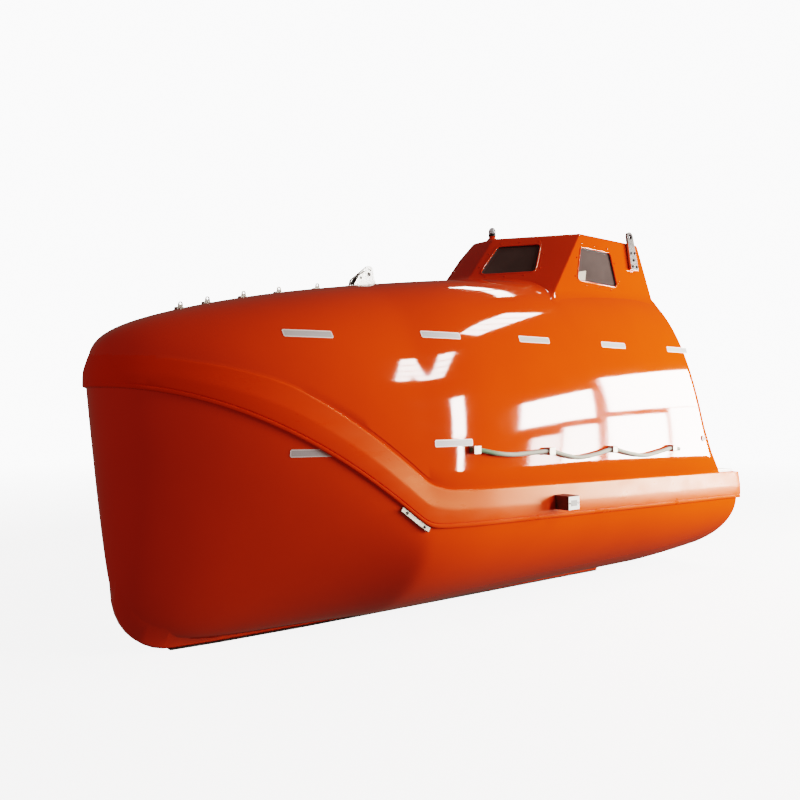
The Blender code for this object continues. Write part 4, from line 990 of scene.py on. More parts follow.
TOWER_ROOF_Z = 2.706
TOWER_CROWN = 0.03
TOWER_FRONT = (2.065, 0.109)  # (station, y) of the roof's corners: front and shoulder
TOWER_CORNER = (1.697, 0.655)
TOWER_FRONT_SLOPE = 0.807  # how the walls spread for each metre down
TOWER_FRONT_SPREAD = 0.025
TOWER_SIDE_SPREAD = 0.115
TOWER_WALL = 0.055
TOWER_ROOF = 0.045
TOWER_LEVELS = (2.02, 2.2, 2.4, 2.55)
TOWER_RADII = (0.04, 0.018, 0.025)  # of the upright edges: front, shoulder, aft
TOWER_ROOF_ROUND = 0.022
ROOF_STEPS = (0.08, 0.2, 0.35, 0.55, 0.75, 0.92, 1.0)
FILLET = 0.06
FILLET_STEPS = 7
FILLET_LIFT = 0.0006
FILLET_LEAD = 6  # columns of the outline left out behind each aft corner


def tower_side_y(z):
    """Half-breadth of the tower at a height."""
    return TOWER_CORNER[1] + TOWER_SIDE_SPREAD * (TOWER_ROOF_Z - z)


def tower_corners(z):
    """Port corners of the tower's outline at a height: front, shoulder, aft."""
    drop = TOWER_ROOF_Z - z
    s, y = TOWER_FRONT
    front = (s + TOWER_FRONT_SLOPE * drop, y + TOWER_FRONT_SPREAD * drop)
    y = tower_side_y(z)
    run = (TOWER_FRONT[0] - TOWER_CORNER[0]) / (TOWER_CORNER[1] - TOWER_FRONT[1])
    shoulder = (front[0] - (y - front[1]) * run, y)
    return front, shoulder, (wall_station(z), y)


def tower_polygon(z):
    """All corners of the tower's outline at a height."""
    port = tower_corners(z)
    corners = [Vector((s, y, z)) for s, y in port]
    return corners + [Vector((s, -y, z)) for s, y in reversed(port)]


def tower_outline(z, inset=0.0):
    """The tower's whole rounded outline at a height, moved inwards by the inset."""
    corners = tower_polygon(z)
    if inset:
        corners = shrink(corners, inset)
    radii = [max(r - inset, 0.004) for r in TOWER_RADII]
    return round_corners(corners, [*radii, *reversed(radii)], 5)


def shrink(corners, inset):
    """A level convex polygon with every side moved inwards."""
    count = len(corners)
    centre = sum(corners, Vector((0, 0, 0))) / count
    moved = []
    for i, corner in enumerate(corners):
        before = (corner - corners[i - 1]).normalized()
        after = (corners[(i + 1) % count] - corner).normalized()
        up = Vector((0, 0, 1))
        n0, n1 = before.cross(up), after.cross(up)
        if n0.dot(corner - centre) < 0:
            n0, n1 = -n0, -n1
        moved.append(corner - (n0 + n1) * (inset / (1 + n0.dot(n1))))
    return moved


def tower_space():
    """The room inside the tower, open to the cabin below."""
    levels = (2.0, TOWER_ROOF_Z - TOWER_ROOF)
    rings = [shrink(tower_polygon(z), TOWER_WALL) for z in levels]
    return loft("tower_space", rings, MATERIALS["liner"])


def face_frame(origin, level, up_hint):
    """Axes of a flat face: level along it and up it."""
    origin = Vector(origin)
    along = (Vector(level) - origin).normalized()
    up = Vector(up_hint) - origin
    return origin, along, (up - along * up.dot(along)).normalized()


# Windows of the tower: corners on the face as (along, up) from its top front corner
FRONT_WINDOW = ((0.045, -0.09), (0.37, -0.09), (0.35, -0.372), (-0.07, -0.376))
SIDE_WINDOW = ((-0.01, -0.11), (0.345, -0.114), (0.40, -0.38), (-0.085, -0.368))
WINDOW_CORNER = 0.03
AFT_WINDOW = ((2.535, 0.22), (2.665, 0.22), (2.665, -0.22), (2.535, -0.22))  # height, y
PANE_THICKNESS = 0.008
PANE_DEPTH = 0.012
# Sections of rim and seal as (away from the opening, out of the face)
RIM_PROFILE = (
    (0.002, -0.010),
    (-0.002, -0.006),
    (-0.003, -0.001),
    (-0.001, 0.003),
    (0.003, 0.0045),
    (0.007, 0.003),
    (0.010, -0.001),
    (0.009, -0.006),
    (0.006, -0.010),
)
SEAL_PROFILE = ((0.001, 0.004), (-0.006, 0.003), (-0.008, 0.0), (0.001, -0.002))
WINDOW_SCREWS = (10, 0.030, 0.007)  # count, distance from the opening, radius
CARD_CORNERS = ((0.035, 0.03), (0.215, 0.03), (0.235, 0.34), (0.05, 0.27))  # shares across and up
CARD_THICKNESS = 0.0012


def tower_point(corner, z):
    s, y = tower_corners(z)[corner]
    return Vector((s, y, z))


def window_outlines():
    """Outline, outward normal and node name of each window."""
    top, low = TOWER_ROOF_Z, 2.3
    front = face_frame(tower_point(0, top), tower_point(1, top), tower_point(0, low))
    side = face_frame(tower_point(1, top), tower_point(2, top), tower_point(1, low))
    windows = []
    for (origin, along, down), corners, place in (
        (front, FRONT_WINDOW, "front"),
        (side, SIDE_WINDOW, "side"),
    ):
        normal = along.cross(-down)
        if normal.y < 0:
            normal = -normal
        outline = [origin + along * a - down * u for a, u in corners]
        for name, sign in SIDES:
            flip = Vector((1, sign, 1))
            windows.append(([p * flip for p in outline], normal * flip, f"{place}_{name}"))
    aft = [Vector((wall_station(z), y, z)) for z, y in AFT_WINDOW]
    windows.append((aft, Vector((-1, 0, WALL_SLOPE)).normalized(), "aft"))
    return windows


def make_window(tower, outline, normal, name):
    """Cuts the opening, and sets a pane, its rubber seal, the raised rim and the rim's screws."""
    opening = round_corners(outline, WINDOW_CORNER, 8)
    through = normal * 0.3
    cutter = prism("opening", MATERIALS["orange"], [p - through / 2 for p in opening], through)
    combine(tower, cutter, "DIFFERENCE")
    pane_outline = [p - normal * PANE_DEPTH for p in grow(opening, -GAP)]
    pane = prism(f"pane_{name}", MATERIALS["window"], pane_outline, normal * -PANE_THICKNESS)
    put(pane)
    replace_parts(pane, f"tower_window_{name}")

    outward = outward_directions(opening)
    ups = [normal] * len(opening)
    rim = sweep(
        f"window_rim_{name}", opening, outward, ups, RIM_PROFILE, MATERIALS["orange"], True, smooth=70
    )
    put(rim)
    bed = [p - normal * PANE_DEPTH for p in opening]
    seal = sweep(
        f"window_seal_{name}", bed, outward, ups, SEAL_PROFILE, MATERIALS["rubber"], True, smooth=70
    )
    put(seal)

    count, distance, radius = WINDOW_SCREWS
    places = [p - normal * 0.0005 for p in spaced(grow(opening, distance), count)]
    screws = [screw(place, normal, radius, "orange") for place in places]
    put(join(f"window_screws_{name}", screws))
    if name == "side_port":
        make_corner_card(outline, normal)


def make_corner_card(outline, normal):
    """The pale card in the lower forward corner of the port side window."""
    upper_fore, upper_aft, lower_aft, lower_fore = outline
    corners = []
    for across, up in CARD_CORNERS:
        low, high = lower_fore.lerp(lower_aft, across), upper_fore.lerp(upper_aft, across)
        corners.append(low.lerp(high, up) - normal * (PANE_DEPTH - 0.0002))
    card = prism("window_card", MATERIALS["card"], corners, normal * CARD_THICKNESS)
    put(card)


def spaced(outline, count):
    """Points at even distances along a closed line."""
    points = [Vector(p) for p in outline]
    loop = points + [points[0]]
    lengths = [0.0]
    for a, b in zip(loop, loop[1:]):
        lengths.append(lengths[-1] + (b - a).length)
    places = []
    for k in range(count):
        goal = lengths[-1] * (k + 0.5) / count
        i = max(j for j, length in enumerate(lengths[:-1]) if length <= goal)
        share = (goal - lengths[i]) / max(lengths[i + 1] - lengths[i], 1e-9)
        places.append(loop[i].lerp(loop[i + 1], share))
    return places


def turned(name, profile, centre, axis, material, segments=24, smooth=35):
    """A (radius, along) profile from axis to axis, turned round an axis through the centre."""
    turn = Vector(axis).to_track_quat("Z", "Y").to_matrix()
    rings = []
    for radius, along in profile:
        ring = []
        for cos, sin in circle_directions(segments):
            ring.append(Vector(centre) + turn @ Vector((radius * cos, radius * sin, along)))
        rings.append(ring)
    return loft(name, rings, material, smooth=smooth)


# Profiles of fasteners as shares of their radius, each closed at its own height on the axis
SCREW_HEAD = ((1, 0), (1, 0.25), (0.85, 0.5), (0.45, 0.62), (0.4, 0.35))
BOLT_HEAD = ((1, 0.12), (1, 0.72), (0.86, 0.85))
WASHER = ((1.55, 0), (1.55, 0.18), (1.395, 0.24))
AXIS = 0.0005  # radius at which a turned piece closes


def scaled(profile, radius, top):
    return [(radius * a, radius * b) for a, b in profile] + [(AXIS, radius * top)]


def screw(place, normal, radius, material="bright_steel"):
    """A round screw head with a countersunk rim."""
    profile = scaled(SCREW_HEAD, radius, 0.3)
    return turned("screw", profile, place, normal, MATERIALS[material], 12, 50)


def hex_bolt(place, normal, radius, material):
    """A hexagon bolt head on a washer."""
    steel = MATERIALS[material]
    head = turned("head", scaled(BOLT_HEAD, radius, 0.85), place, normal, steel, 6, 20)
    washer = turned("washer", scaled(WASHER, radius, 0.24), place, normal, steel, 16)
    return [head, washer]


def make_tower(canopy_solid):
    """The tower's shell with its crowned roof and its windows, cut to sit on the canopy."""
    rings = [tower_outline(z) for z in (*TOWER_LEVELS, TOWER_ROOF_Z - TOWER_ROOF_ROUND)]
    for inwards, below in quarter_steps(6)[1:]:
        z = TOWER_ROOF_Z - TOWER_ROOF_ROUND * below
        rings.append(tower_outline(z, TOWER_ROOF_ROUND * inwards))
    edge = rings[-1]
    ridge_front = TOWER_CORNER[0] + 0.1
    ridge_aft = wall_station(TOWER_ROOF_Z) + 0.06
    for t in ROOF_STEPS:
        z = TOWER_ROOF_Z + TOWER_CROWN * (1 - (1 - t) ** 2)
        ring = []
        for p in edge:
            ridge = clamp(p.x, ridge_aft, ridge_front)
            ring.append(Vector((p.x + (ridge - p.x) * t, p.y * (1 - t), z)))
        rings.append(ring)
    tower = loft("tower_shell", rings, MATERIALS["orange"])
    combine(tower, tower_space(), "DIFFERENCE")
    combine(tower, canopy_solid, "DIFFERENCE", keep=True)
    for outline, normal, name in window_outlines():
        make_window(tower, outline, normal, name)
    finish_shell(tower, 30)
    put(tower)
    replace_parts(tower, "conning_tower")


def meet_canopy(column):
    """Height at which one upright line of the tower's wall meets the canopy."""
    low, high = 2.03, 2.65
    for _ in range(30):
        z = (low + high) / 2
        p = tower_outline(z)[column]
        if z > canopy_z(p.x, p.y):
            high = z
        else:
            low = z
    return (low + high) / 2


def fillet_section(column):
    """The fillet's hollow section at one upright line of the tower's wall."""
    z = meet_canopy(column)
    outline = tower_outline(z)
    foot = outline[column]
    out = outward_directions(outline)[column]
    up = tower_outline(z + FILLET * 0.8)[column]
    across = foot + out * FILLET
    across.z = canopy_z(across.x, across.y)
    lift = out * FILLET_LIFT + Vector((0, 0, FILLET_LIFT))
    section = [up - out * 0.015]
    for k in range(FILLET_STEPS + 1):
        t = k / FILLET_STEPS
        section.append(up * (1 - t) ** 2 + foot * 2 * t * (1 - t) + across * t**2 + lift)
    section.append(foot - out * 0.02 - Vector((0, 0, 0.02)))
    return [Vector((max(p.x, wall_station(p.z) + 0.0005), p.y, p.z)) for p in section]


def make_tower_fillet():
    """The hollow fillet where the tower rises from the canopy, on all sides but the aft one."""
    count = len(tower_outline(TOWER_LEVELS[2]))
    # The outline runs from the port front corner aft, and back on the other side to the front
    half = count // 2
    port = range(half - FILLET_LEAD, -1, -1)
    starboard = range(count - 1, half + FILLET_LEAD - 1, -1)
    rings = [fillet_section(column) for column in (*port, *starboard)]
    fillet = loft("tower_fillet", rings, MATERIALS["orange"], smooth=50)
    put(fillet)


# Canopy

WALL_UP = Vector((WALL_SLOPE, 0, 1)).normalized()
WALL_OUT = Vector((-1, 0, WALL_SLOPE)).normalized()
WALL_ORIGIN = Vector((wall_station(WALL_BASE_Z), 0, WALL_BASE_Z))
DOOR_HALF = 0.31
DOOR_LOW = 0.10
DOOR_HIGH = 1.18
DOOR_LAP = 0.04
GASKET_PROFILE = (
    (-0.007, -0.001),
    (-0.006, 0.0004),
    (0.0, 0.0005),
    (0.006, 0.0004),
    (0.007, -0.001),
)


def on_wall(y, up, out):
    return WALL_ORIGIN + Vector((0, y, 0)) + WALL_UP * up + WALL_OUT * out


def wall_outline(half, low, high, out, corner):
    """A rounded rectangle on the raked wall, about its middle."""
    corners = [(-half, low), (half, low), (half, high), (-half, high)]
    return round_corners([on_wall(y, up, out) for y, up in corners], corner, 7)


def make_canopy():
    """Canopy and fender band in one, with the room, the doorway and the tower's way in cut."""
    solid = canopy_block("canopy_shell")
    envelope = canopy_block("envelope")
    combine(solid, upper_space(), "DIFFERENCE")
    combine(solid, tower_space(), "DIFFERENCE")
    half, low, high = DOOR_HALF - DOOR_LAP, DOOR_LOW + DOOR_LAP, DOOR_HIGH - DOOR_LAP
    outline = wall_outline(half, low, high, -0.2, 0.06)
    combine(solid, prism("doorway", MATERIALS["orange"], outline, WALL_OUT * 0.3), "DIFFERENCE")
    finish_shell(solid, 30)
    dull_band(solid)
    put(solid)
    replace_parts(solid, "canopy")
    return envelope


def make_door_gasket():
    """Rubber seal round the doorway, under the door's lap."""
    outline = wall_outline(DOOR_HALF - 0.03, DOOR_LOW + 0.03, DOOR_HIGH - 0.03, 0.0, 0.065)
    outward = outward_directions(outline)
    ups = [WALL_OUT] * len(outline)
    put(sweep("door_gasket", outline, outward, ups, GASKET_PROFILE, MATERIALS["rubber"], True))


# Reflective strips

STRIP_LENGTH = 0.28
STRIP_WIDTH = 0.043
STRIP_EDGE = 0.006
UPPER_STRIPS = (  # station, z
    (4.10, 1.815),
    (3.232, 1.845),
    (2.459, 1.85),
    (1.631, 1.85),
    (0.81, 1.85),
)
LOWER_CANOPY_STRIP = (3.258, 1.19)
LOWER_HULL_STRIP = (4.12, 1.157)


STRIP_LIFTS = (0.0016, -0.002)  # of its face and its back, from the skin
STRIP_CUT = 0.0035  # taken off each corner


def strip_marks(size, inner):
    """Places across a strip: its ends, the inner side of its pale edge, and more between."""
    end = size / 2
    return [-end, -end + STRIP_EDGE, *inner, end - STRIP_EDGE, end]


def lifted_skin(surface, s, z, lift):
    """A point off the port skin, along its normal."""
    slope = (surface(s + 0.01, z) - surface(s - 0.01, z)) / 0.02
    rise = (surface(s, z + 0.01) - surface(s, z - 0.01)) / 0.02
    return Vector((s, surface(s, z), z)) + Vector((-slope, 1.0, -rise)).normalized() * lift


def make_strip(name, s, z, sign, surface):
    """A strip of reflective sheet laid on the skin, pale at its edge."""
    lengths = strip_marks(STRIP_LENGTH, np.linspace(-0.11, 0.11, 9))
    widths = strip_marks(STRIP_WIDTH, (-0.007, 0.007))
    columns, rows = len(lengths), len(widths)
    bm = bmesh.new()
    grids = []
    for lift in STRIP_LIFTS:
        grid = []
        for j, v in enumerate(widths):
            for i, u in enumerate(lengths):
                at_corner = i in (0, columns - 1) and j in (0, rows - 1)
                pull = STRIP_CUT if at_corner else 0.0
                place = s + u - math.copysign(pull, u), z + v - math.copysign(pull, v)
                point = lifted_skin(surface, *place, lift)
                grid.append(bm.verts.new((point.x, point.y * sign, point.z)))
        grids.append(grid)
    face, back = grids
    for j in range(rows - 1):
        for i in range(columns - 1):
            a = j * columns + i
            corners = (a, a + 1, a + columns + 1, a + columns)
            at_edge = i in (0, columns - 2) or j in (0, rows - 2)
            bm.faces.new([face[k] for k in corners]).material_index = 0 if at_edge else 1
            bm.faces.new([back[k] for k in reversed(corners)])
    rim = list(range(columns))
    rim += [j * columns + columns - 1 for j in range(1, rows)]
    rim += [(rows - 1) * columns + i for i in range(columns - 2, -1, -1)]
    rim += [j * columns for j in range(rows - 2, 0, -1)]
    for a, b in zip(rim, rim[1:] + rim[:1]):
        bm.faces.new([face[b], face[a], back[a], back[b]])
    put(mesh_from(bm, name, [MATERIALS["tape_edge"], MATERIALS["tape"]], smooth=60))


def make_strips():
    for side, sign in SIDES:
        for number, (s, z) in enumerate(UPPER_STRIPS, start=1):
            make_strip(f"strip_{side}_{number}", s, z, sign, canopy_y)
        make_strip(f"strip_{side}_low", *LOWER_CANOPY_STRIP, sign, canopy_y)
        make_strip(f"strip_{side}_bow", *LOWER_HULL_STRIP, sign, hull_y)


# Grab lines

GRAB_ROUTE = (  # station, z
    (3.15, 1.146),
    (3.08, 1.143),
    (2.95, 1.118),
    (2.80, 1.104),
    (2.62, 1.108),
    (2.45, 1.112),
    (2.32, 1.085),
    (2.16, 1.058),
    (1.96, 1.074),
    (1.78, 1.100),
    (1.60, 1.066),
    (1.40, 1.040),
    (1.20, 1.060),
    (1.05, 1.082),
    (0.94, 1.070),
)
GRAB_RADIUS = 0.015
GRAB_STANDOFF = 0.021


def smooth_line(points, step):
    """Points along a smooth curve through the given ones."""
    points = [Vector(p) for p in points]
    ends = [points[0] * 2 - points[1], *points, points[-1] * 2 - points[-2]]
    line = [points[0]]
    for i in range(1, len(ends) - 2):
        a, b, c, d = ends[i - 1 : i + 3]
        steps = max(1, round((c - b).length / step))
        for k in range(1, steps + 1):
            t = k / steps
            square = 2 * a - 5 * b + 4 * c - d
            cube = 3 * b - a - 3 * c + d
            line.append((2 * b + (c - a) * t + square * t**2 + cube * t**3) / 2)
    return line


def grab_path(sign, step=0.045):
    path = []
    for point in smooth_line([(s, 0, z) for s, z in GRAB_ROUTE], step):
        y = canopy_y(point.x, point.z) + GRAB_STANDOFF
        path.append(Vector((point.x, sign * y, point.z)))
    return path


def make_grab_lines():
    for side, sign in SIDES:
        path = grab_path(sign)
        curve = bpy.data.curves.new(f"grab_rope_{side}", "CURVE")
        curve.dimensions = "3D"
        curve.bevel_depth = GRAB_RADIUS
        curve.bevel_resolution = 5
        curve.use_fill_caps = True
        spline = curve.splines.new("POLY")
        spline.points.add(len(path) - 1)
        for point, place in zip(spline.points, path):
            point.co = (place.x - MID, place.y, place.z, 1.0)
        curve.materials.append(MATERIALS["rope"])
        rope = bpy.data.objects.new(f"grab_rope_{side}", curve)
        put(rope)
        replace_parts(rope, f"grab_line_{side}")


# Fittings

FORWARD_LUG_HEAD = (3.19, 2.348, 0.036)  # station, height, radius
FORWARD_LUG_NOSE = (3.325, 2.262, 0.02)
FORWARD_LUG_FOOT = ((3.10, 2.204), (3.40, 2.174))  # station, height of the underside
SHACKLE_HEAD = (3.215, 2.318, 0.03)
SHACKLE_NOSE = (3.285, 2.288, 0.022)
LUG_BORE = 0.015
AFT_LUG_S = 1.085  # station of its middle, its lean ahead for each metre up, height of its middle
AFT_LUG_LEAN = 0.09
AFT_LUG_MIDDLE = 2.62
AFT_LUG_FACE = 0.0266  # distance of its outer face from the tower's side
AFT_LUG_BOLTS = (  # along the plate, height
    (-0.026, 2.512),
    (0.026, 2.512),
    (0.0, 2.563),
    (-0.026, 2.622),
    (0.024, 2.617),
)
AFT_LUG_BORE = (2.752, 0.0172)  # height, radius
BUSH_PROFILE = (
    (0.0, -0.014),
    (-0.001, -0.014),
    (-0.001, 0.001),
    (0.005, 0.001),
    (0.005, 0.0003),
    (0.0, 0.0003),
)
SHOE_FACE = (2.29, 2.405, 0.728, 0.822, 1.12)  # stations, heights, distance from the middle
CORNER_BAR = (3.455, 3.635)  # stations of its ends
CORNER_BAR_PROFILE = (
    (-0.006, -0.015),
    (0.003, -0.015),
    (0.005, -0.013),
    (0.005, 0.013),
    (0.003, 0.015),
    (-0.006, 0.015),
)
VENT_PLACE = (0.56, 1.14)  # station, height
VENT_PROFILE = (
    (0.024, -0.004),
    (0.024, 0.002),
    (0.021, 0.005),
    (0.013, 0.0055),
    (0.010, 0.003),
    (0.010, -0.004),
)
LIGHT_FOOT = (1.97, 0.0, 2.7205)
LIGHT_BOSS = (
    (0.042, -0.012),
    (0.040, 0.004),
    (0.033, 0.012),
    (0.0265, 0.016),
    (0.0265, 0.03),
    (AXIS, 0.03),
)
LIGHT_BAND = ((0.0265, 0.0302), (0.029, 0.032), (0.029, 0.050), (0.0265, 0.052), (AXIS, 0.052))
LIGHT_DOME = (
    (0.026, 0.0525),
    (0.028, 0.056),
    (0.028, 0.074),
    (0.025, 0.087),
    (0.016, 0.098),
    (AXIS, 0.102),
)
DECK_EYES = (4.56, 4.39, 4.15, 3.90, 3.61)  # stations


def plate_outline(circles, y):
    """The outline that wraps some circles, each (station, height, radius), in an upright plane."""
    dots = []
    for s, z, radius in circles:
        dots += [Vector((s + radius * cos, z + radius * sin)) for cos, sin in circle_directions(24)]
    return [(dots[i].x, y, dots[i].y) for i in geometry.convex_hull_2d(dots)]


def disc(place, normal, radius, height, material):
    """A low disc with a softened edge."""
    edge = min(height, radius) * 0.3
    profile = [(radius, 0.0), (radius, height - edge), (radius - edge, height), (AXIS, height)]
    return turned("disc", profile, place, normal, MATERIALS[material], 20)


def make_forward_lug():
    """The lug on the roof, its foot plate and the smaller cheek beside it."""
    steel = MATERIALS["steel"]
    (aft, aft_z), (fore, fore_z) = FORWARD_LUG_FOOT
    feet = [(aft + 0.05, aft_z + 0.03, 0.01), (fore - 0.05, fore_z + 0.03, 0.01)]
    outline = plate_outline([FORWARD_LUG_HEAD, FORWARD_LUG_NOSE, *feet], -0.011)
    lug = prism("lug", steel, outline, (0, 0.022, 0))
    s, z, _ = FORWARD_LUG_HEAD
    ends = [(LUG_BORE, -0.1), (LUG_BORE, 0.1)]
    combine(lug, turned("bore", ends, (s, 0, z), (0, 1, 0), MATERIALS["dark_steel"]), "DIFFERENCE")
    outline = plate_outline([SHACKLE_HEAD, SHACKLE_NOSE, *feet], 0.034)
    cheek = prism("cheek", steel, outline, (0, 0.008, 0))
    foot = [(aft, -0.07, aft_z), (fore, -0.07, fore_z), (fore, 0.07, fore_z), (aft, 0.07, aft_z)]
    parts = [lug, cheek, prism("foot", steel, foot, (0, 0, 0.05))]
    for s, z, radius in (SHACKLE_HEAD, SHACKLE_NOSE):
        parts.append(disc((s, 0.042, z), (0, 1, 0), radius * 0.45, 0.003, "dark_steel"))
    for s, z in ((aft + 0.03, aft_z + 0.047), (fore - 0.03, fore_z + 0.053)):
        for y in (-0.05, 0.056):
            parts += hex_bolt((s, y, z), (0.1, 0, 1), 0.008, "dull_steel")
    lug = join("forward_lug_detail", parts)
    bevel(lug, 0.002)
    put(lug)
    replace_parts(lug, "forward_lug")


def aft_lug_point(z, along, sign):
    """A place on the outer face of an aft lug."""
    s = AFT_LUG_S + AFT_LUG_LEAN * (z - AFT_LUG_MIDDLE) + along
    return Vector((s, sign * (tower_side_y(z) + AFT_LUG_FACE), z))


def make_lug_bolts():
    """The bolts of each aft lug, and the dark bush in its bore."""
    for side, sign in SIDES:
        normal = Vector((0, sign, TOWER_SIDE_SPREAD)).normalized()
        parts = []
        for along, z in AFT_LUG_BOLTS:
            parts += hex_bolt(aft_lug_point(z, along, sign), normal, 0.0085, "dark_steel")
        put(join(f"lug_bolts_{side}", parts))
        z, radius = AFT_LUG_BORE
        centre = aft_lug_point(z, 0.0, sign)
        upward = Vector((0, -sign * TOWER_SIDE_SPREAD, 1)).normalized()
        outward = [Vector((cos, 0, 0)) + upward * sin for cos, sin in circle_directions(24)]
        path = [centre + d * radius for d in outward]
        ups = [normal] * len(path)
        bush = sweep(f"lug_bush_{side}", path, outward, ups, BUSH_PROFILE, MATERIALS["black"], True)
        put(bush)


def shoe_plate(sign, inset, start, thickness, material):
    """A flat plate on the outer face of a guide block."""
    aft, fore, low, high, _ = SHOE_FACE
    outline = [(aft + inset, low + inset), (fore - inset, low + inset)]
    outline += [(fore - inset, high - inset), (aft + inset, high - inset)]
    points = [(s, sign * start, z) for s, z in outline]
    return prism("plate", MATERIALS[material], points, (0, sign * thickness, 0))


def make_shoe_faces():
    """A pale wearing plate on each guide block, with a grey square and two screws."""
    aft, fore, low, high, reach = SHOE_FACE
    for side, sign in SIDES:
        parts = [shoe_plate(sign, 0.004, reach, 0.003, "pale_plastic")]
        parts.append(shoe_plate(sign, 0.028, reach + 0.003, 0.0012, "grey_plastic"))
        for s in (aft + 0.015, fore - 0.015):
            parts.append(screw((s, sign * (reach + 0.003), (low + high) / 2), (0, sign, 0), 0.006))
        put(join(f"shoe_plate_{side}", parts))


def make_corner_bars():
    """The flat bar bolted under the turn of the fender band."""
    for side, sign in SIDES:
        path, sides, ups = [], [], []
        for s in np.linspace(*CORNER_BAR, 12):
            path.append(Vector((s, sign * (half_breadth(s) + 0.008), sheer_z(s) - 0.022)))
        for before, after in zip([path[0], *path[:-1]], [*path[1:], path[-1]]):
            along = (after - before).normalized()
            out = Vector((0, sign, 0)) - along * (along.y * sign)
            sides.append(out.normalized())
            ups.append(along.cross(out).normalized())
        parts = [sweep("bar", path, sides, ups, CORNER_BAR_PROFILE, MATERIALS["dull_steel"])]
        for k in (2, 9):
            parts += hex_bolt(path[k] + sides[k] * 0.005, sides[k], 0.006, "dark_steel")
        bar = join(f"corner_bar_{side}", parts)
        put(bar)
        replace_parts(bar, f"corner_strip_{side}")


def make_vent_rings():
    """The pale flange of each side outlet, dark inside."""
    s, z = VENT_PLACE
    for side, sign in SIDES:
        place = (s, sign * (canopy_y(s, z) + 0.004), z)
        ring = turned("ring", VENT_PROFILE, place, (0, sign, 0), MATERIALS["pale_plastic"])
        vent = join(f"vent_ring_{side}", [ring, disc(place, (0, sign, 0), 0.0098, 0.0035, "black")])
        put(vent)
        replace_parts(vent, f"side_vent_{side}")


def make_position_light():
    """The moulded boss on the roof, with the light's black band and its clear dome."""
    up = (0, 0, 1)
    boss = turned("light_boss", LIGHT_BOSS, LIGHT_FOOT, up, MATERIALS["orange"])
    put(boss)
    band = turned("light_band", LIGHT_BAND, LIGHT_FOOT, up, MATERIALS["black"])
    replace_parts(put(band), "position_light_base")
    dome = turned("light_dome", LIGHT_DOME, LIGHT_FOOT, up, MATERIALS["lens"], smooth=60)
    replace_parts(put(dome), "position_light_dome")


def make_eye_bolts():
    """Two screws through the foot of each eye on the roof."""
    parts = []
    for s in DECK_EYES:
        for y in (-0.0125, 0.0125):
            parts.append(screw((s, y, canopy_z(s, 0.0) + 0.006), (0.2, 0, 1), 0.004))
    put(join("eye_bolts", parts))


# Carried-over CAD nodes


EDGE_SHARE = 0.12  # rounding of a node's edges, as a share of its smallest side
EDGE_LIMITS = (0.0006, 0.006)
SEAT_EDGE = 0.012


def dress_nodes():
    """Gives every CAD node that stays its material and rounded edges."""
    for name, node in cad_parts.items():
        if node.hide_render:
            continue
        chosen = "steel"
        for start, kind in NODE_MATERIALS:
            if name.startswith(start):
                chosen = kind
        node.data.materials.clear()
        node.data.materials.append(MATERIALS[chosen])
        low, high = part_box(name)
        width = clamp(min(high - low) * EDGE_SHARE, *EDGE_LIMITS)
        if name.startswith(("seat_row", "helm_seat")):
            width = SEAT_EDGE
        bevel(node, width)


# Stage, light and camera

CAMERA_PLACE = (3.903, 4.391, 1.433)
CAMERA_YAW = 51.518
CAMERA_PITCH = -0.163
CAMERA_LENS = 35.003
FLOOR_RADIUS = 16.0
FLOOR_FADE = (5.0, 15.0)  # distances between which it fades out
FLOOR_GLOW = 3.2
FLOOR_GAP = 0.0005


def make_camera():
    yaw, pitch = math.radians(CAMERA_YAW), math.radians(CAMERA_PITCH)
    level = math.cos(pitch)
    forward = Vector((-math.cos(yaw) * level, -math.sin(yaw) * level, -math.sin(pitch)))
    right = Vector((-math.sin(yaw), math.cos(yaw), 0))
    up = right.cross(forward)
    data = bpy.data.cameras.new("camera")
    data.lens = CAMERA_LENS
    data.sensor_width = 36.0
    data.clip_end = 200.0
    camera = bpy.data.objects.new("camera", data)
    turn = Matrix((right, up, -forward)).transposed().to_4x4()
    camera.matrix_world = Matrix.Translation(CAMERA_PLACE) @ turn
    bpy.context.scene.collection.objects.link(camera)
    bpy.context.scene.camera = camera


def make_floor():
    """A pale floor that fades into the background away from the boat."""
    made, tree, shader = new_material("floor", (0.80, 0.80, 0.79), 0.55)
    stops = [(0.3, (0.78, 0.78, 0.77)), (0.7, (0.82, 0.82, 0.81))]
    tree.links.new(ramp(tree, noise(tree, 0.8, 4.0), stops), shader.inputs["Base Color"])
    shader.inputs["Emission Color"].default_value = (1.0, 1.0, 1.0, 1.0)
    shader.inputs["Emission Strength"].default_value = FLOOR_GLOW
    place = tree.nodes.new("ShaderNodeTexCoord")
    length = tree.nodes.new("ShaderNodeVectorMath")
    length.operation = "LENGTH"
    tree.links.new(place.outputs["Object"], length.inputs[0])
    fade = spread(tree, length.outputs["Value"], 1.0, 0.0, *FLOOR_FADE)
    tree.links.new(fade, shader.inputs["Alpha"])
    bm = bmesh.new()
    bmesh.ops.create_circle(bm, cap_ends=True, segments=96, radius=FLOOR_RADIUS)
    floor = mesh_from(bm, "floor", made, place=False)
    floor.location.z = -FLOOR_GAP
    floor.visible_diffuse = False
    floor.visible_glossy = False


WORLD_SEEN = 6.5  # brightness of the background in the picture
WORLD_LIGHT = 0.12


